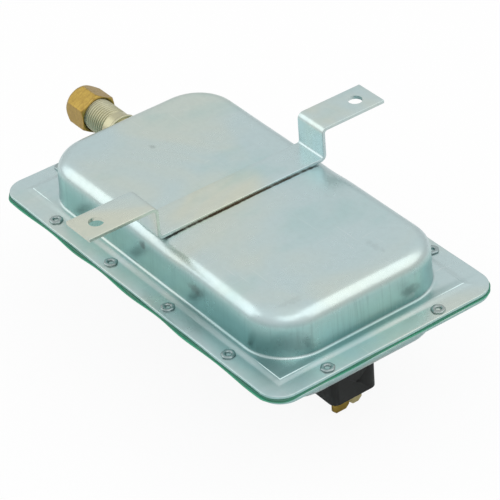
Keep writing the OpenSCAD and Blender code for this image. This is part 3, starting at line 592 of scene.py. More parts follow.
def cut_group():
    """Turned or sawn metal: fine grooves across one axis and darker blotches."""
    tree, source, result = group("Cut metal", {
        "Position": ("NodeSocketVector", None), "Metal": ("NodeSocketColor", (0.6, 0.5, 0.2, 1)),
        "Tarnish": ("NodeSocketColor", (0.3, 0.2, 0.1, 1)), "Tarnish amount": ("NodeSocketFloat", 0.5),
        "Roughness": ("NodeSocketFloat", 0.4)},
        {"Color": "NodeSocketColor", "Roughness": "NodeSocketFloat", "Height": "NodeSocketFloat"})
    at = source.outputs
    grooves = noise(tree, stretched(tree, at["Position"], (3400.0, 260.0, 260.0)), 1.0, 3.0, 0.6, 0.3)
    blotch = noise(tree, at["Position"], 950.0, 4.0, 0.65, 0.3)
    dark = math_node(tree, "MULTIPLY", remap(tree, blotch, 0.42, 0.66, 0.0, 1.0), at["Tarnish amount"])
    tarnished = blend_colour(tree, dark, at["Metal"], at["Tarnish"])
    streaked = blend_colour(tree, remap(tree, grooves, 0.35, 0.7, 0.0, 0.25), tarnished,
                            (0.12, 0.08, 0.03, 1))
    rough = math_node(tree, "ADD", at["Roughness"], math_node(tree, "MULTIPLY",
                                                              math_node(tree, "SUBTRACT", grooves, 0.5), 0.3))
    tree.links.new(streaked, result.inputs["Color"])
    tree.links.new(rough, result.inputs["Roughness"])
    tree.links.new(math_node(tree, "ADD", math_node(tree, "MULTIPLY", grooves, 0.5),
                             math_node(tree, "MULTIPLY", blotch, 0.5)),
                   result.inputs["Height"])
    return tree


def moulded_group():
    """Moulded plastic or coated cloth: a fine grain, faint dusty patches and a small change of shade."""
    tree, source, result = group("Moulded grain", {
        "Position": ("NodeSocketVector", None), "Body": ("NodeSocketColor", (0.1, 0.1, 0.1, 1)),
        "Dust": ("NodeSocketColor", (0.3, 0.3, 0.3, 1)), "Dust amount": ("NodeSocketFloat", 0.1),
        "Grain": ("NodeSocketFloat", 1500.0), "Roughness": ("NodeSocketFloat", 0.45)},
        {"Color": "NodeSocketColor", "Roughness": "NodeSocketFloat", "Height": "NodeSocketFloat"})
    at = source.outputs
    grain = noise(tree, at["Position"], at["Grain"], 3.0, 0.6)
    patch = noise(tree, at["Position"], 120.0, 3.0, 0.55)
    dusty = math_node(tree, "MULTIPLY", remap(tree, patch, 0.45, 0.75, 0.0, 1.0), at["Dust amount"])
    shade = blend_colour(tree, dusty, at["Body"], at["Dust"])
    rough = math_node(tree, "ADD", at["Roughness"], math_node(tree, "MULTIPLY",
                                                              math_node(tree, "SUBTRACT", patch, 0.5), 0.25))
    tree.links.new(shade, result.inputs["Color"])
    tree.links.new(rough, result.inputs["Roughness"])
    tree.links.new(grain, result.inputs["Height"])
    return tree


def node_group(name, maker):
    """The named group, made the first time it is asked for."""
    return bpy.data.node_groups.get(name) or maker()


def start_material(name):
    """Empty node material with a Principled BSDF, the object's own coordinates and its shader."""
    existing = bpy.data.materials.get(name)
    if existing:
        return existing, None, None, None
    material = bpy.data.materials.new(name)
    material.use_nodes = True
    tree = material.node_tree
    tree.nodes.clear()
    shader = add(tree, "ShaderNodeBsdfPrincipled")
    output = add(tree, "ShaderNodeOutputMaterial")
    tree.links.new(shader.outputs[0], output.inputs[0])
    coordinates = add(tree, "ShaderNodeTexCoord")
    return material, tree, shader, coordinates.outputs["Object"]


def bump(tree, shader, height, distance, strength=1.0):
    """Bump from a height into the shader's normal."""
    node = add(tree, "ShaderNodeBump", {"Height": height, "Distance": distance, "Strength": strength})
    tree.links.new(node.outputs[0], shader.inputs["Normal"])


def plated(name, metal, film, straw, straw_amount, roughness, marks=1.0, metallic=0.92, walls=1.0, grain=1.0,
           streaks=1.0, stains_and_shade=()):
    """Zinc plated steel. Each stain or patch of painted shade is a place, a stretch, a radius, how ragged
    its edge is, a strength and a colour."""
    material, tree, shader, position = start_material(name)
    if tree is None:
        return material
    # Upright faces, found from the surface normal, get the film colour as tint and as painted shade; walls sets
    # how much.
    up = add(tree, "ShaderNodeSeparateXYZ", {0: add(tree, "ShaderNodeTexCoord").outputs["Normal"]})
    steep = math_node(tree, "ABSOLUTE", up.outputs["Z"])
    upright = remap(tree, steep, 0.10, 0.62, walls, 0.0)
    film_node = add(tree, "ShaderNodeGroup", {}, node_tree=node_group("Plating film", plating_group))
    for key, value in (("Position", position), ("Upright", upright)):
        tree.links.new(value, film_node.inputs[key])
    for key, value in (("Metal", opaque(metal)), ("Film", opaque(film)), ("Straw", opaque(straw)),
                       ("Straw amount", straw_amount), ("Roughness", roughness)):
        film_node.inputs[key].default_value = value
    scratch = add(tree, "ShaderNodeGroup", {}, node_tree=node_group("Handling marks", marks_group))
    tree.links.new(position, scratch.inputs["Position"])
    scratch.inputs["Amount"].default_value = marks
    pale = blend_colour(tree, math_node(tree, "MULTIPLY", scratch.outputs["Mask"], 0.35),
                        film_node.outputs["Color"],
                        (0.72, 0.76, 0.75, 1))
    film_node.inputs["Streaks"].default_value = streaks
    for place, stretch, radius, ragged, strength, tone in stains_and_shade:
        mark = add(tree, "ShaderNodeGroup", {}, node_tree=node_group("Soft mark", spots_group))
        tree.links.new(position, mark.inputs["Position"])
        mark.inputs["Place"].default_value = place
        mark.inputs["Stretch"].default_value = stretch
        mark.inputs["Radius"].default_value = radius
        mark.inputs["Ragged"].default_value = ragged
        pale = blend_colour(tree, math_node(tree, "MULTIPLY", mark.outputs["Mask"], strength), pale,
                            opaque(tone))
    tree.links.new(pale, shader.inputs["Base Color"])
    tree.links.new(film_node.outputs["Roughness"], shader.inputs["Roughness"])
    shader.inputs["Metallic"].default_value = metallic
    height = math_node(tree, "ADD", math_node(tree, "MULTIPLY", film_node.outputs["Height"], grain),
                       scratch.outputs["Height"])
    bump(tree, shader, height, 0.004 * MM)
    return material


def cut_metal(name, metal, tarnish, amount, roughness, metallic=1.0, depth=0.03):
    """Turned, sawn or stamped metal."""
    material, tree, shader, position = start_material(name)
    if tree is None:
        return material
    cut = add(tree, "ShaderNodeGroup", {}, node_tree=node_group("Cut metal", cut_group))
    tree.links.new(position, cut.inputs["Position"])
    for key, value in (("Metal", opaque(metal)), ("Tarnish", opaque(tarnish)), ("Tarnish amount", amount),
                       ("Roughness", roughness)):
        cut.inputs[key].default_value = value
    tree.links.new(cut.outputs["Color"], shader.inputs["Base Color"])
    tree.links.new(cut.outputs["Roughness"], shader.inputs["Roughness"])
    shader.inputs["Metallic"].default_value = metallic
    bump(tree, shader, cut.outputs["Height"], depth * MM)
    return material


def moulded(name, body, dust, amount, grain, roughness, depth=0.02, specular=0.5):
    """Plastic, rubber or coated cloth."""
    material, tree, shader, position = start_material(name)
    if tree is None:
        return material
    skin = add(tree, "ShaderNodeGroup", {}, node_tree=node_group("Moulded grain", moulded_group))
    tree.links.new(position, skin.inputs["Position"])
    for key, value in (("Body", opaque(body)), ("Dust", opaque(dust)), ("Dust amount", amount),
                       ("Grain", grain),
                       ("Roughness", roughness)):
        skin.inputs[key].default_value = value
    tree.links.new(skin.outputs["Color"], shader.inputs["Base Color"])
    tree.links.new(skin.outputs["Roughness"], shader.inputs["Roughness"])
    shader.inputs["Specular IOR Level"].default_value = specular
    bump(tree, shader, skin.outputs["Height"], depth * MM)
    return material


def zinc(name, shade=1.0, straw_amount=0.5, roughness=0.30, walls=0.75, marks=1.0, streaks=1.0, stains_and_shade=()):
    """Zinc plating in the part's own colours, darker or paler by a shade."""
    f = bpy.context.scene.psw_finishes
    tint = [tuple(c * shade for c in rgb) for rgb in (f.zinc, f.zinc_film_and_wall_shade, f.zinc_straw)]
    return plated(name, *tint, straw_amount, roughness, marks, walls=walls, streaks=streaks, stains_and_shade=stains_and_shade)


# ---------------------------------------------------------------- pieces

class PSW_OT_upper_shell(bpy.types.Operator):
    """Drawn upper shell: flange, coined step, dome with a rolled shoulder"""
    bl_idname = "psw.upper_shell"
    bl_label = "Upper Shell"

    def execute(self, context):
        s = context.scene.psw_shell
        height = shell_hi.z - shell_lo.z - s.sheet
        strap_mid = (strap_lo.x + strap_hi.x) / 2 - FLANGE_X
        dents = [(strap_mid + 11 * MM, -29 * MM, 7 * MM, 5 * MM, s.dent),
                 (strap_mid + 10 * MM, 30 * MM, 6 * MM, 4 * MM, s.dent),
                 (strap_mid, 0, 7.5 * MM, 60 * MM, 0.35 * MM)]
        rows = worked_sheet(stamping_rows(s, height, 0.35 * MM, 0.0), s, height, dents)
        piece = surface("dome_shell", place(rows, (FLANGE_X, 0, shell_lo.z + s.sheet)))
        wall_y = -(FLANGE_HY - s.dome_inset_y)
        wall_x = FLANGE_X + FLANGE_HX - s.dome_inset_x
        grey, painted_shade, strap_gap_shade_and_dirt = (0.10, 0.13, 0.13), (0.10, 0.24, 0.235), (0.055, 0.032, 0.014)
        top = shell_hi.z
        # The first three marks are painted shade: smooth darker teal on the -Y wall and along the +X ledge at
        # the wall's foot.
        stains_and_shade = [((FLANGE_X + 10 * MM, wall_y, top - 9 * MM), (0.02, 0.26, 0.30), 2.4 * MM, 0, 0.50, painted_shade),
                  ((FLANGE_X + 42 * MM, wall_y, top - 11 * MM), (0.12, 0.4, 0.6), 4.0 * MM, 0.1, 0.45, painted_shade),
                  ((wall_x + 1.2 * MM, 0, top - 13.8 * MM), (0.8, 0.05, 0.8), 2.4 * MM, 0, 0.55, painted_shade),
                  ((FLANGE_X + 62 * MM, -27 * MM, top - 9 * MM), (0.4, 0.4, 0.7), 3.6 * MM, 0.4, 0.30, grey),
                  ((FLANGE_X - 4.7 * MM, wall_y, top - 5.3 * MM), (1, 0.4, 1), 2.0 * MM, 1, 0.65, grey),
                  ((FLANGE_X + 22.5 * MM, wall_y, top - 7.1 * MM), (0.55, 0.4, 1), 2.4 * MM, 1, 0.55, grey),
                  ((wall_x, 16.2 * MM, top - 9.5 * MM), (0.4, 0.5, 1), 2.4 * MM, 1, 0.35, grey),
                  ((FLANGE_X + 49.2 * MM, 14.2 * MM, top), (0.45, 1.3, 1), 2.2 * MM, 2, 0.10, grey),
                  ((FLANGE_X + 53.7 * MM, -21.2 * MM, top), (1.1, 0.5, 1), 2.2 * MM, 2, 0.09, grey),
                  ((FLANGE_X - 39.8 * MM, -4.2 * MM, top), (1, 1.4, 1), 1.6 * MM, 1, 0.25, grey),
                  # The last two marks are painted shade along the strap's edges where it sits on the dome,
                  # tinted brown as dirt.
                  ((strap_hi.x + 0.30 * MM, 0, top), (1, 0.016, 0.6), 0.75 * MM, 0.8, 1.0, strap_gap_shade_and_dirt),
                  ((strap_lo.x - 0.15 * MM, 0, top), (1, 0.012, 0.6), 0.35 * MM, 1, 0.7, strap_gap_shade_and_dirt)]
        fit_out(piece, "housing", "zinc_upper", zinc("Zinc dome", stains_and_shade=stains_and_shade), "upper_shell")
        return {"FINISHED"}


class PSW_OT_lower_shell(bpy.types.Operator):
    """Drawn lower shell, with its vent hole"""
    bl_idname = "psw.lower_shell"
    bl_label = "Lower Shell"

    def execute(self, context):
        s = context.scene.psw_shell
        height = pan_hi.z - pan_lo.z - s.sheet
        rows = worked_sheet(stamping_rows(s, height, 0.35 * MM, 0.3 * MM), s, height, [])
        rows[..., 1] += 0.25 * MM
        piece = surface("pan_shell", place(rows, (FLANGE_X, 0, pan_hi.z - s.sheet), flip=True))
        vent_x = FLANGE_X - (FLANGE_HX - s.dome_inset_x) + 16 * MM
        drill(piece, [peg((vent_x, 0, pan_lo.z), 1.5 * MM, 3 * MM)])
        fit_out(piece, "housing", "zinc_lower", zinc("Zinc pan", 0.94), "lower_shell")
        return {"FINISHED"}


class PSW_OT_rim_layers(bpy.types.Operator):
    """Gasket and diaphragm, squeezed between the flanges so that their edges wave between the rivets"""
    bl_idname = "psw.rim_layers"
    bl_label = "Gasket and Diaphragm"

    def squeezed(self, grid, amount, phase):
        """Moves the outermost points out and in, with the rivets' spacing and a little unevenness."""
        context = bpy.context
        pitch = context.scene.psw_rim.rivet_pitch
        x, y = grid[..., 0], grid[..., 1]
        rim = ease((np.maximum(np.abs(x) / FLANGE_HX, np.abs(y) / FLANGE_HY) - 0.95) / 0.05)
        swell = 0.5 - 0.5 * np.cos(2 * np.pi * (x - pitch / 2) / pitch)
        swell = 0.3 + swell * 0.5 + 0.2 * np.sin(x / (2.9 * MM) + phase) * np.sin(y / (3.7 * MM) + phase)
        out = grid.copy()
        along_y = np.abs(np.sin(ANGLE))[None, :] if grid.ndim == 3 else 0
        out[..., 1] += np.sign(y) * rim * along_y * amount * swell
        end = 0.30 * MM * (0.5 + 0.5 * np.sin(y / (4.4 * MM) + phase))
        out[..., 0] -= np.sign(x) * rim * np.abs(np.cos(ANGLE))[None, :] * end
        out[..., 2] += rim * 0.10 * MM * np.sin(x / (4.1 * MM) + phase) * np.sin(y / (5.3 * MM))
        return out

    def execute(self, context):
        s, rim, f = context.scene.psw_shell, context.scene.psw_rim, context.scene.psw_finishes
        self.gasket(s, rim, f)
        self.diaphragm(s, rim, f)
        return {"FINISHED"}

    def gasket(self, s, rim, f):
        """Flat ring: a closed section carried round the flange, inner edge at the coined step."""
        top, bottom = gasket_hi.z, gasket_lo.z
        mid, half = (top + bottom) / 2, (top - bottom) / 2
        step_hx, step_hy = FLANGE_HX - s.step_inset_x, FLANGE_HY - s.step_inset_y
        t = np.linspace(0, 1, 8)
        turn = np.linspace(np.pi / 2, -np.pi / 2, 9)
        edge_x, edge_y = FLANGE_HX - 0.1 * MM, FLANGE_HY - 0.15 * MM
        span_x, span_y = edge_x - half - step_hx, edge_y - half - step_hy
        top_rows = outlines(step_hx + span_x * t, step_hy + span_y * t, 2 * MM + 5 * MM * t, top + 0 * t)
        edge_rows = outlines(edge_x - half + half * np.cos(turn), edge_y - half + half * np.cos(turn),
                             7 * MM + 0 * turn, mid + half * np.sin(turn))
        grid = np.concatenate([top_rows, edge_rows[1:-1], top_rows[::-1] * [1, 1, 0] + [0, 0, bottom]])
        grid = self.squeezed(grid, rim.bulge * 0.55, 0.4)
        piece = surface("gasket_ring", place(grid, (FLANGE_X, 0, 0)), loop=True, sharp=70)
        fit_out(piece, "housing", "gasket_green",
                moulded("Green gasket", f.gasket, (0.12, 0.24, 0.17), 0.5, 900.0, 0.55, 0.06), "rim_gasket")

    def diaphragm(self, s, rim, f):
        """Clamped centre that moves with the plates, and round it a sheet with a rolled convolution: its
        height is a half circle across the roll, and zero elsewhere."""
        top, bottom = gasket_lo.z, membrane_lo.z
        mid, half = (top + bottom) / 2, (top - bottom) / 2
        inset = s.sheet + rim.roll + 0.5 * MM + half
        roll_hx, roll_hy = FLANGE_HX - s.dome_inset_x - inset, FLANGE_HY - s.dome_inset_y - inset
        roll_r = s.dome_corner - s.sheet - rim.roll - 0.5 * MM
        centre_hx, centre_hy, centre_r = roll_hx - rim.roll, roll_hy - rim.roll, roll_r - rim.roll
        rubber = moulded("Green diaphragm", f.membrane, (0.07, 0.16, 0.11), 0.4, 1300.0, 0.5, 0.04)
        k = np.linspace(0, 1, 10)[1:]
        k[-1] = 1 - rim.centre_gap / centre_hx
        disc = outlines(k * centre_hx, k * centre_hy, k * centre_r, 0 * k)
        grid = np.concatenate([disc + [0, 0, half], disc[::-1] - [0, 0, half]])
        middle = surface("diaphragm_centre", place(grid, (FLANGE_X, 0, mid)), sharp=50)
        fit_out(middle, "diaphragm_stack", "membrane_green", rubber, "diaphragm")
        a = np.linspace(np.pi, 0, 18)
        roll = outlines(roll_hx + rim.roll * np.cos(a), roll_hy + rim.roll * np.cos(a),
                        roll_r + rim.roll * np.cos(a),
                        rim.roll * np.sin(a))
        t = np.linspace(0, 1, 8)[1:]
        out_x, out_y = FLANGE_HX - 0.1 * MM - half, FLANGE_HY - 0.1 * MM - half
        x0, y0, r0 = roll_hx + rim.roll, roll_hy + rim.roll, roll_r + rim.roll
        land = outlines(x0 + (out_x - x0) * t, y0 + (out_y - y0) * t, r0 + (7 * MM - r0) * t, 0 * t)
        sheet = np.concatenate([roll, land])
        turn = np.linspace(np.pi / 2, -np.pi / 2, 9)[1:-1]
        edge = outlines(out_x + half * np.cos(turn), out_y + half * np.cos(turn), 7 * MM + 0 * turn,
                        half * np.sin(turn))
        grid = np.concatenate([sheet + [0, 0, half], edge, sheet[::-1] - [0, 0, half]])
        grid = self.squeezed(grid, rim.bulge, 2.1)
        piece = surface("diaphragm_ring", place(grid, (FLANGE_X, 0, mid)), loop=True, sharp=70)
        fit_out(piece, "housing", "membrane_green", rubber, "diaphragm")


def lathe(name, profile, centre, axis="Z", sides=64, wobble=None, loop=False, sharp=40.0):
    """Surface of revolution: profile points [station, radius] turned round the axis. wobble(station, radius,
    turn) gives the radius where the piece isn't quite round."""
    profile = np.asarray(profile, float)
    turn = np.linspace(0, 2 * np.pi, sides, endpoint=False)[None, :]
    station, radius = profile[:, :1], profile[:, 1:2]
    r = radius + 0 * turn if wobble is None else wobble(station, radius, turn)
    along = station + 0 * turn
    parts = {"Z": [r * np.cos(turn), r * np.sin(turn), along],
             "X": [along, r * np.cos(turn), r * np.sin(turn)]}[axis]
    return surface(name, np.stack(parts, -1) + np.array(centre), loop=loop, sharp=sharp)


def arc(cs, cr, radius, a0, a1, count=6):
    """Points [station, radius] on an arc about (cs, cr)."""
    a = np.radians(np.linspace(a0, a1, count))
    return np.stack([cs + radius * np.cos(a), cr + radius * np.sin(a)], -1)


def joined(name, pieces):
    """One object from several meshes, without operators: their points and faces are put end to end."""
    points, faces, start = [], [], 0
    for piece in pieces:
        mesh = piece.data
        co = np.empty(len(mesh.vertices) * 3)
        mesh.vertices.foreach_get("co", co)
        points.append(co.reshape(-1, 3))
        faces.extend([[v + start for v in face.vertices] for face in mesh.polygons])
        start += len(mesh.vertices)
        bpy.data.objects.remove(piece)
    return put_mesh(name, np.concatenate(points), faces)


class PSW_OT_rivets(bpy.types.Operator):
    """Twelve tubular rivets: a rolled head on the upper flange and a low dome under the lower one"""
    bl_idname = "psw.rivets"
    bl_label = "Flange Rivets"

    def execute(self, context):
        rim = context.scene.psw_rim
        rivet_lo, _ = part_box("flange_rivets")
        flange_top = shell_lo.z + context.scene.psw_shell.sheet
        under = rivet_lo.z - flange_top
        lip = (rim.rivet_head - rim.rivet_bore) / 2
        lip_mid = rim.rivet_bore + lip
        rise = rim.rivet_height
        foot = under + 0.5 * MM
        roll = np.radians(np.linspace(180, 0, 13))
        head = np.stack([rise * 0.45 + rise * 0.55 * np.sin(roll), lip_mid + lip * np.cos(roll)], -1)
        profile = np.concatenate([
            [[foot + 1.2 * MM, 0.02 * MM], [foot + 1.2 * MM, rim.rivet_bore * 0.8],
             [foot + 1.5 * MM, rim.rivet_bore * 0.97], [-0.4 * MM, rim.rivet_bore]],
            head, [[0.0, rim.rivet_head - 0.06 * MM], [0.0, 1.5 * MM], [foot, 1.5 * MM], [foot, 2.45 * MM],
                   [foot - 0.2 * MM, 2.48 * MM], [foot - 0.38 * MM, 2.2 * MM], [foot - 0.48 * MM, 1.4 * MM],
                   [foot - 0.5 * MM, 0.02 * MM]]])
        x_long = rim.rivet_pitch * np.array([-1.5, -0.5, 0.5, 1.5])
        spots = [(x, s * (FLANGE_HY - rim.rivet_inset_y)) for x in x_long for s in (-1, 1)]
        x_short = FLANGE_HX - rim.rivet_inset_x
        spots += [(s * x_short, t * rim.rivet_end_y) for s in (-1, 1) for t in (-1, 1)]
        rivets = []
        for number, (x, y) in enumerate(spots):
            phase = 2.4 * number

            def lobed(station, radius, turn, phase=phase):
                """The rolled lip splits into six faint lobes, and one side is struck a little harder."""
                above = ease((station + 0.1 * MM) / (0.3 * MM))
                outside = ease((radius - rim.rivet_bore) / (0.4 * MM))
                lobes = 0.035 * np.cos(6 * turn + phase) + 0.02 * np.cos(turn + phase)
                return radius * (1 + above * outside * lobes)

            rivets.append(lathe("rivet", profile, (FLANGE_X + x, y, flange_top), sides=36, wobble=lobed))
        piece = joined("rolled_rivets", rivets)
        fit_out(piece, "housing", "rivet_zinc", zinc("Zinc rivet", 0.62, 0.3, 0.24, 0.3, 0.4, 0.5),
                "flange_rivets")
        return {"FINISHED"}


def strip_path(corners, bend, step=1.2 * MM):
    """Centre line through corners in a plane, each rounded by an arc: points and unit normals, [n, 2] each."""
    corners = np.asarray(corners, float)
    points = [corners[0]]
    for before, corner, after in zip(corners[:-2], corners[1:-1], corners[2:]):
        u, v = before - corner, after - corner
        u, v = u / np.linalg.norm(u), v / np.linalg.norm(v)
        half = math.acos(np.clip(u @ v, -1, 1)) / 2
        reach = bend / math.tan(half)
        centre = corner + (u + v) / np.linalg.norm(u + v) * bend / math.sin(half)
        a0 = math.atan2(*(corner + u * reach - centre)[::-1])
        a1 = math.atan2(*(corner + v * reach - centre)[::-1])
        sweep = (a1 - a0 + math.pi) % (2 * math.pi) - math.pi
        a = a0 + sweep * np.linspace(0, 1, 9)
        points.extend(centre + bend * np.stack([np.cos(a), np.sin(a)], -1))
    points.append(corners[-1])
    points = np.array(points)
    lengths = np.linalg.norm(np.diff(points, axis=0), axis=1)
    filled = [points[:1]]
    for a, b, gap in zip(points[:-1], points[1:], lengths):
        count = max(1, int(gap / step))
        filled.append(a + (b - a) * np.linspace(0, 1, count + 1)[1:, None])
    points = np.concatenate(filled)
    tangent = np.gradient(points, axis=0)
    tangent /= np.linalg.norm(tangent, axis=1)[:, None]
    return points, np.stack([-tangent[:, 1], tangent[:, 0]], -1)


def bent_strip(name, corners, bend, width, thickness, edge, to_space):
    """Flat strip bent along a path: a section with rounded edges, carried along the path. to_space turns
    [along-path coordinates a and b, across c] into x, y, z."""
    path, normal = strip_path(corners, bend + thickness / 2)
    quarter = np.linspace(0, np.pi / 2, 5)
    hw, ht = width / 2 - edge, thickness / 2 - edge
    section = np.concatenate([np.stack([sx * hw + edge * np.cos(quarter + turn),
                                        sy * ht + edge * np.sin(quarter + turn)], -1)
                              for sx, sy, turn in ((1, 1, 0), (-1, 1, np.pi / 2), (-1, -1, np.pi),
                                                   (1, -1, 1.5 * np.pi))])
    sides = np.linspace(-1, 1, 7)[1:-1, None]
    top = np.concatenate([section[:5], sides[::-1] * [hw, 0] + [0, ht + edge], section[5:15],
                          sides * [hw, 0] + [0, -ht - edge], section[15:]])
    across, up = top[None, :, 0], top[None, :, 1]
    a = path[:, 0, None] + normal[:, 0, None] * up
    b = path[:, 1, None] + normal[:, 1, None] * up
    c = across + 0 * a
    return surface(name, np.stack(to_space(a, b, c), -1), sharp=50)


class PSW_OT_strap(bpy.types.Operator):
    """Mounting strap: a strip with two Z bends, two feet and a hole in each foot"""
    bl_idname = "psw.strap"
    bl_label = "Mounting Strap"

    def execute(self, context):
        s = context.scene.psw_strap
        t = s.thickness
        mid_x = (strap_lo.x + strap_hi.x) / 2
        web, foot = strap_lo.z + t / 2, strap_hi.z - t / 2
        riser = s.riser + t / 2
        end = strap_hi.y
        corners = [(-end, foot), (-riser, foot), (-riser, web), (riser, web), (riser, foot), (end, foot)]
        piece = bent_strip("bent_strap", corners, s.bend, strap_hi.x - strap_lo.x, t, s.edge,
                           lambda a, b, c: (mid_x + c, a, b))
        drill(piece, [peg((mid_x, side * s.hole_pitch / 2, foot), s.hole, 2 * t) for side in (-1, 1)])
        fit_out(piece, "housing", "zinc_strap", zinc("Zinc strap", 1.0, 0.9, 0.30, 0.0, 1.0, 0.3),
                "mounting_strap")
        return {"FINISHED"}


class PSW_OT_port_fitting(bpy.types.Operator):
    """Threaded fitting through the dome's end wall"""
    bl_idname = "psw.port_fitting"
    bl_label = "Port Fitting"

    def execute(self, context):
        p, f = context.scene.psw_port, context.scene.psw_finishes
        front, back = fitting_lo.x, fitting_hi.x
        wall = FLANGE_X - (FLANGE_HX - context.scene.psw_shell.dome_inset_x)
        collar_r = (fitting_hi.z - fitting_lo.z) / 2
        start = wall - p.plain
        root = p.thread - p.depth
        stations = np.linspace(start, front + 0.9 * MM, 300)
        mouth = p.tube + 1.35 * MM
        profile = np.concatenate([
            [[back, 2.2 * MM], [back, p.thread + 0.2 * MM]],
            arc(back - 0.3 * MM, p.thread + 0.1 * MM, 0.24 * MM, 70, 180, 4),
            [[back - 0.8 * MM, p.thread], [wall, p.thread], [wall, collar_r - 0.15 * MM]],
            [[wall - 0.15 * MM, collar_r], [wall - 0.95 * MM, collar_r],
             [wall - 1.1 * MM, collar_r - 0.15 * MM],
             [wall - 1.1 * MM, p.thread]],
            np.stack([np.linspace(wall - 1.4 * MM, start + 0.1 * MM, 6), np.full(6, p.thread)], -1),
            np.stack([stations, np.full(300, p.thread)], -1),
            [[front + 0.5 * MM, root], [front, root - 0.3 * MM], [front, mouth], [front + 1.35 * MM, p.tube],
             [front + 7 * MM, p.tube], [front + 7 * MM, 2.2 * MM]]])

        def threaded(station, radius, turn):
            """Crest radius less a helical groove: the groove depends on station over pitch plus the turn."""
            phase = (station - start) / p.pitch + turn / (2 * np.pi)
            groove = np.clip(1.25 * (0.5 - 0.5 * np.cos(2 * np.pi * phase)) - 0.12, 0, 1)
            fade = ease((start - station) / (1.2 * MM))
            on_thread = (station <= start) & (station >= front + 0.9 * MM) & (radius > root)
            return radius - np.where(on_thread, p.depth * groove * fade, 0.0)

        piece = lathe("threaded_fitting", profile, (0, 0, PORT_Z), "X", 96, threaded, loop=True, sharp=60)
        # The film here is the fitting's colour at 0.7, a darker copy laid on its upright faces as painted
        # shade.
        finish = plated("Yellow zinc", f.fitting, tuple(c * 0.7 for c in f.fitting), (0.45, 0.42, 0.25), 0.6,
                        0.36, 0.3,
                        walls=0.3)
        fit_out(piece, "housing", "fitting_zinc", finish, "port_fitting")
        return {"FINISHED"}


class PSW_OT_compression_nut(bpy.types.Operator):
    """Brass hexagon nut with turned chamfers, and the ferrule inside it"""
    bl_idname = "psw.compression_nut"
    bl_label = "Compression Nut"

    def execute(self, context):
        p, f = context.scene.psw_port, context.scene.psw_finishes
        front, back = nut_lo.x, nut_hi.x
        flat = (nut_hi.y - nut_lo.y) / 2
        corner = flat / math.cos(math.pi / 6)
        face = corner - p.chamfer
        bore = p.thread + 0.1 * MM
        seat = front + 2.4 * MM
        body = np.linspace(front + 2 * p.chamfer, back - p.chamfer, 14)
        profile = np.concatenate([
            [[front, p.tube + 0.25 * MM], [front, face - 0.5 * MM], [front + 0.12 * MM, face - 0.12 * MM]],
            np.stack([np.linspace(front + 0.35 * MM, front + 2 * p.chamfer, 8)[:-1],
                      np.linspace(face, corner, 8)[:-1]], -1),
            np.stack([body, np.full(14, corner)], -1),
            np.stack([np.linspace(back - p.chamfer, back - 0.15 * MM, 6)[1:],
                      np.linspace(corner, face + 0.1 * MM, 6)[1:]], -1),
            [[back, face - 0.15 * MM], [back, bore + 0.3 * MM], [back - 0.3 * MM, bore],
             [seat + 2.3 * MM, bore],
             [seat + 2.3 * MM, bore - 0.36 * MM], [seat, bore - 0.36 * MM], [seat, p.tube],
             [front + 0.25 * MM, p.tube]]])

        def hexagon(station, radius, turn):
            """The smaller of the turned radius and the hexagon's (corners up and down), softly joined."""
            around = np.mod(turn - np.pi / 2 + 0 * station, np.pi / 3) - np.pi / 6
            hexed = flat / np.cos(around)
            soft = 0.10 * MM
            low = -soft * np.log(np.exp(-hexed / soft) + np.exp(-(radius + 0.04 * MM) / soft))
            return np.where(radius > bore + 0.35 * MM, np.minimum(low, radius), radius)

        piece = lathe("hexagon_nut", profile, (0, 0, PORT_Z), "X", 144, hexagon, loop=True, sharp=38)
        brass = cut_metal("Nut brass", f.brass_nut, (0.30, 0.19, 0.05), 0.6, 0.36, 1.0, 0.06)
        fit_out(piece, "nut", "nut_brass", brass, "compression_nut")
        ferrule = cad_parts["ferrule"]
        ferrule.data.materials.clear()
        ferrule.data.materials.append(cut_metal("Ferrule brass", f.brass_tab, (0.3, 0.2, 0.06), 0.3, 0.28))
        return {"FINISHED"}


class PSW_OT_snap_switch(bpy.types.Operator):
    """Black two-part switch case"""
    bl_idname = "psw.snap_switch"
    bl_label = "Snap Switch Case"

    def execute(self, context):
        f = context.scene.psw_finishes
        black = moulded("Black case", f.case, (0.035, 0.038, 0.038), 0.35, 2200.0, 0.44, 0.02, 0.25)
        case = dressed_copy("switch_housing", "switch_case", 0.35 * MM, 3)
        slot = peg((case_hi.x, 0.8 * MM, (case_lo.z + case_hi.z) / 2 + 0.5 * MM), 0.55 * MM, 0.4 * MM, "X",
                   24)
        drill(case, [slot])
        fit_out(case, "housing", "case_black", black, "switch_housing")
        lid = dressed_copy("switch_cover", "switch_lid", 0.2 * MM)
        fit_out(lid, "housing", "case_black", black, "switch_cover")
        return {"FINISHED"}


class PSW_OT_terminals(bpy.types.Operator):
    """Brass terminal tabs"""
    bl_idname = "psw.terminals"
    bl_label = "Terminals"

    def execute(self, context):
        f = context.scene.psw_finishes
        brass = cut_metal("Tab brass", f.brass_tab, (0.34, 0.22, 0.05), 0.35, 0.30, 1.0, 0.01)
        pale = cut_metal("Pale brass", (0.58, 0.50, 0.26), (0.40, 0.33, 0.16), 0.3, 0.33, 1.0, 0.01)
        for node, name, slot, finish in (("terminal_common", "common_tab", "tab_brass", brass),
                                         ("terminal_no", "open_tab", "tab_brass", brass),
                                         ("terminal_nc", "closed_tab", "tab_tinned", pale)):
            fit_out(dressed_copy(node, name, 0.12 * MM), "housing", slot, finish, node)
        return {"FINISHED"}


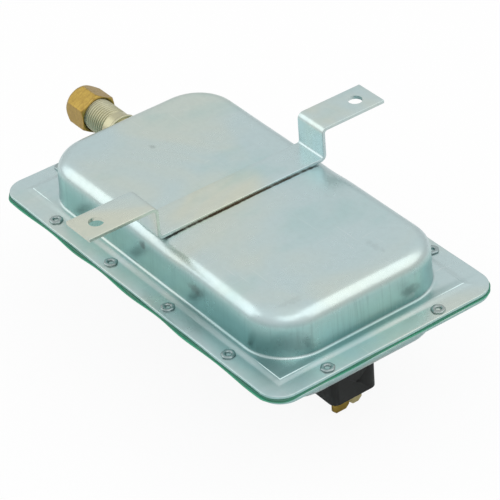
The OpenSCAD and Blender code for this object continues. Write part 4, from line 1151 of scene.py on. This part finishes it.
class PSW_OT_switch_mounting(bpy.types.Operator):
    """Bracket that carries the snap switch, with its screws and nuts"""
    bl_idname = "psw.switch_mounting"
    bl_label = "Switch Mounting"

    def execute(self, context):
        plate = zinc("Zinc underside", 0.95, 0.5, 0.34, 0.5, 1.0, 0.6)
        bright = zinc("Zinc screw", 1.0, 0.35, 0.28, 0.3, 0.4, 0.3)
        fit_out(dressed_copy("switch_bracket", "case_bracket", 0.22 * MM), "housing", "zinc_underside", plate,
                "switch_bracket")
        fit_out(dressed_copy("switch_screws", "case_screws", 0.18 * MM), "housing", "screw_zinc", bright,
                "switch_screws")
        fit_out(dressed_copy("switch_nuts", "case_nuts", 0.18 * MM), "housing", "screw_zinc", bright,
                "switch_nuts")
        return {"FINISHED"}


class PSW_OT_calibration(bpy.types.Operator):
    """Spring housing, range screw and calibration spring"""
    bl_idname = "psw.calibration"
    bl_label = "Calibration Spring Group"

    def execute(self, context):
        f = context.scene.psw_finishes
        plate = zinc("Zinc underside", 0.95, 0.5, 0.34, 0.5, 1.0, 0.6)
        centre = (housing_lo + housing_hi) / 2
        flange_r = (housing_hi.x - housing_lo.x) / 2
        bore, wall, top, end = 7.0 * MM, 1.2 * MM, housing_hi.z, housing_lo.z
        outer = bore + wall
        profile = np.concatenate([
            [[end + 0.2 * MM, bore], [end, bore + 0.2 * MM]],
            arc(end + 0.35 * MM, outer - 0.05 * MM, 0.35 * MM, 180, 60, 5),
            [[end + 0.9 * MM, outer], [top - 2.0 * MM, outer]],
            arc(top - 2.0 * MM, outer + 1.0 * MM, 1.0 * MM, 270, 360, 7)[1:],
            arc(top - 0.8 * MM, flange_r - 0.2 * MM, 0.2 * MM, 180, 0, 5),
            [[top, flange_r - 0.3 * MM], [top, bore]]])
        tube = lathe("spring_tube", profile, (centre.x, centre.y, 0), loop=True)
        fit_out(tube, "housing", "zinc_underside", plate, "spring_housing")
        screw = dressed_copy("range_screw", "range_plug", 0.3 * MM)
        fit_out(screw, "adjuster", "screw_brass", cut_metal("Screw brass", f.brass_tab, (0.3, 0.2, 0.06), 0.4,
                                                            0.3), "range_screw")
        self.spring()
        return {"FINISHED"}

    def spring(self):
        """Round wire carried along a helix whose end turns lie flat."""
        wire = 0.5 * MM
        mean = (spring_hi.x - spring_lo.x) / 2 - wire
        middle = (spring_lo + spring_hi) / 2
        turns, steps, sides = 6, 36, 12
        t = np.linspace(0, 1, turns * steps + 1)
        e = 1 / turns
        low, high = spring_lo.z + wire, spring_hi.z - wire
        lift = np.interp(t, [0, e, 1 - e, 1], [low, low + 2.1 * wire, high - 2.1 * wire, high])
        a = (2 * np.pi * turns * t)[:, None]
        b = np.linspace(0, 2 * np.pi, sides, endpoint=False)[None, :]
        q = mean + wire * np.cos(b)
        grid = np.stack([q * np.cos(a), q * np.sin(a), lift[:, None] + wire * np.sin(b) + 0 * a], -1)
        piece = surface("coil_spring", grid + np.array([middle.x, middle.y, 0]), sharp=60)
        steel = cut_metal("Spring steel", (0.42, 0.44, 0.46), (0.2, 0.2, 0.2), 0.3, 0.3)
        piece.data.materials.append(steel)
        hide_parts("calibration_spring")
        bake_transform(piece)


class PSW_OT_inner_finishes(bpy.types.Operator):
    """Finishes for the parts inside the shells and the switch case"""
    bl_idname = "psw.inner_finishes"
    bl_label = "Inner Finishes"

    def execute(self, context):
        steel = cut_metal("Plain steel", (0.50, 0.52, 0.53), (0.25, 0.25, 0.24), 0.35, 0.36)
        rivet = cut_metal("Turned brass", (0.58, 0.44, 0.18), (0.3, 0.2, 0.08), 0.3, 0.28)
        bronze = cut_metal("Spring bronze", (0.56, 0.34, 0.16), (0.3, 0.16, 0.07), 0.3, 0.3)
        silver = cut_metal("Contact silver", (0.70, 0.70, 0.69), (0.35, 0.33, 0.30), 0.2, 0.25)
        nylon = moulded("Natural nylon", (0.62, 0.58, 0.46), (0.5, 0.48, 0.4), 0.2, 1500.0, 0.4)
        phenolic = moulded("Brown phenolic", (0.16, 0.07, 0.025), (0.2, 0.12, 0.06), 0.3, 1200.0, 0.45)
        red = moulded("Red thermoset", (0.25, 0.02, 0.012), (0.3, 0.08, 0.06), 0.2, 1200.0, 0.4)
        finishes = {"diaphragm_plate_upper": steel, "diaphragm_plate_lower": steel, "spring_cup": steel,
                    "spring_seat": steel, "trip_lever": steel, "lever_bracket": steel, "pivot_pin": steel,
                    "centre_rivet": rivet, "snap_blade": bronze, "moving_contact": silver,
                    "fixed_contact_nc": silver,
                    "fixed_contact_no": silver, "pin_guide": nylon, "push_pin": phenolic,
                    "switch_plunger": red}
        for node, finish in finishes.items():
            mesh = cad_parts[node].data
            mesh.materials.clear()
            mesh.materials.append(finish)
        return {"FINISHED"}


class PSW_OT_stage(bpy.types.Operator):
    """Pale floor, soft light and the camera"""
    bl_idname = "psw.stage"
    bl_label = "Stage"

    def execute(self, context):
        scene = context.scene
        self.floor(scene)
        self.world(scene)
        self.lamps(scene)
        self.camera(scene)
        scene.view_settings.view_transform = "Standard"
        return {"FINISHED"}

    def floor(self, scene):
        """Square floor at the lowest point of the object."""
        half = 3.0
        level = cad_lo.z - 0.0002
        points = np.array([[-half, -half, level], [half, -half, level], [half, half, level],
                           [-half, half, level]])
        piece = put_mesh("floor", points, [[0, 1, 2, 3]])
        material, tree, shader, position = start_material("Pale floor")
        tone = scene.psw_stage.floor
        paper = noise(tree, position, 900.0, 2.0)
        shade = blend_colour(tree, remap(tree, paper, 0.3, 0.7, 0.0, 1.0), (tone, tone, tone, 1),
                             (tone * 0.99, tone * 0.99, tone * 0.99, 1))
        tree.links.new(shade, shader.inputs["Base Color"])
        shader.inputs["Roughness"].default_value = 0.9
        white = add(tree, "ShaderNodeEmission", {"Color": (1, 1, 1, 1), "Strength": 1.0})
        path = add(tree, "ShaderNodeLightPath")
        seen = add(tree, "ShaderNodeMath", {0: path.outputs["Is Camera Ray"], 1: 0.92}, operation="MULTIPLY")
        mix = add(tree, "ShaderNodeMixShader", {0: seen.outputs[0], 1: shader.outputs[0],
                                                2: white.outputs[0]})
        output = next(node for node in tree.nodes if node.type == "OUTPUT_MATERIAL")
        tree.links.new(mix.outputs[0], output.inputs[0])
        piece.data.materials.append(material)

    def world(self, scene):
        """Even light that fades a little towards the horizon, and plain white behind the object."""
        world = bpy.data.worlds.new("Studio")
        world.use_nodes = True
        scene.world = world
        tree = world.node_tree
        tree.nodes.clear()
        direction = add(tree, "ShaderNodeTexCoord").outputs["Generated"]
        height = add(tree, "ShaderNodeSeparateXYZ", {0: direction}).outputs["Z"]
        glow = remap(tree, height, -0.1, 0.9, 0.42, 0.95)
        lit = add(tree, "ShaderNodeBackground", {"Color": (1, 1, 1, 1), "Strength": glow})
        white = add(tree, "ShaderNodeBackground", {"Color": (1, 1, 1, 1), "Strength": 1.0})
        path = add(tree, "ShaderNodeLightPath")
        through = math_node(tree, "MAXIMUM", path.outputs["Is Camera Ray"],
                            path.outputs["Is Transmission Ray"])
        mirrored = math_node(tree, "MAXIMUM", through, math_node(tree, "MULTIPLY",
                                                                 path.outputs["Is Glossy Ray"], 0.5))
        mix = add(tree, "ShaderNodeMixShader", {0: mirrored, 1: lit.outputs[0], 2: white.outputs[0]})
        output = add(tree, "ShaderNodeOutputWorld")
        tree.links.new(mix.outputs[0], output.inputs[0])

    def lamps(self, scene):
        """Soft boxes: two large ones behind, to the left and the right, and a smaller one above the camera."""
        for name, spot, size, power in (("back_left", (-0.75, -0.60, 0.55), 0.95, 2.4),
                                        ("back_right", (0.45, 0.50, 0.80), 1.0, 2.2),
                                        ("over_camera", (0.50, -0.30, 0.85), 0.6, 0.8)):
            data = bpy.data.lights.new(name, "AREA")
            data.size = size
            data.energy = power
            lamp = bpy.data.objects.new(name, data)
            lamp.location = spot
            lamp.rotation_euler = (-Vector(spot)).to_track_quat("-Z", "Y").to_euler()
            scene.collection.objects.link(lamp)

    def camera(self, scene):
        """Long lens looking down at the switch end from the front."""
        data = bpy.data.cameras.new("camera")
        data.lens = 188.29
        data.sensor_width = 36
        data.clip_start, data.clip_end = 0.05, 20
        camera = bpy.data.objects.new("camera", data)
        right = Vector((0.59936, 0.79789, -0.06435))
        up = Vector((-0.43674, 0.39333, 0.80904))
        back = right.cross(up).normalized()
        up = back.cross(right).normalized()
        turn = Matrix((right.normalized(), up, back)).transposed()
        camera.matrix_world = Matrix.Translation((0.55015, -0.36965, 0.44246)) @ turn.to_4x4()
        scene.collection.objects.link(camera)
        scene.camera = camera


PROPERTY_GROUPS = {"psw_shell": PSW_ShellSizes, "psw_rim": PSW_RimSizes, "psw_strap": PSW_StrapSizes,
                   "psw_port": PSW_PortSizes, "psw_finishes": PSW_Finishes, "psw_stage": PSW_StageSettings}
OPERATORS = [PSW_OT_upper_shell, PSW_OT_lower_shell, PSW_OT_rim_layers, PSW_OT_rivets, PSW_OT_strap,
             PSW_OT_port_fitting, PSW_OT_compression_nut, PSW_OT_snap_switch, PSW_OT_terminals,
             PSW_OT_switch_mounting, PSW_OT_calibration, PSW_OT_inner_finishes, PSW_OT_stage]


class PSW_PT_panel(bpy.types.Panel):
    """Lists the pieces and their sizes"""
    bl_idname = "PSW_PT_panel"
    bl_label = "Pressure Switch"
    bl_space_type = "VIEW_3D"
    bl_region_type = "UI"
    bl_category = "Pressure Switch"

    def draw(self, context):
        for operator in OPERATORS:
            self.layout.operator(operator.bl_idname)
        for attribute, kind in PROPERTY_GROUPS.items():
            box = self.layout.box()
            box.label(text=kind.__doc__)
            for key in kind.__annotations__:
                box.prop(getattr(context.scene, attribute), key)


def register():
    """Registers the settings, the operators and the panel."""
    for attribute, kind in PROPERTY_GROUPS.items():
        bpy.utils.register_class(kind)
        setattr(bpy.types.Scene, attribute, PointerProperty(type=kind))
    for kind in [*OPERATORS, PSW_PT_panel]:
        bpy.utils.register_class(kind)


def unregister():
    """Removes them again."""
    for kind in [PSW_PT_panel, *reversed(OPERATORS)]:
        bpy.utils.unregister_class(kind)
    for attribute, kind in PROPERTY_GROUPS.items():
        delattr(bpy.types.Scene, attribute)
        bpy.utils.unregister_class(kind)


def main():
    """Registers the add-on and builds every piece in order."""
    register()
    for operator in OPERATORS:
        group_name, call = operator.bl_idname.split(".")
        getattr(getattr(bpy.ops, group_name), call)()


if __name__ == "__main__":
    main()
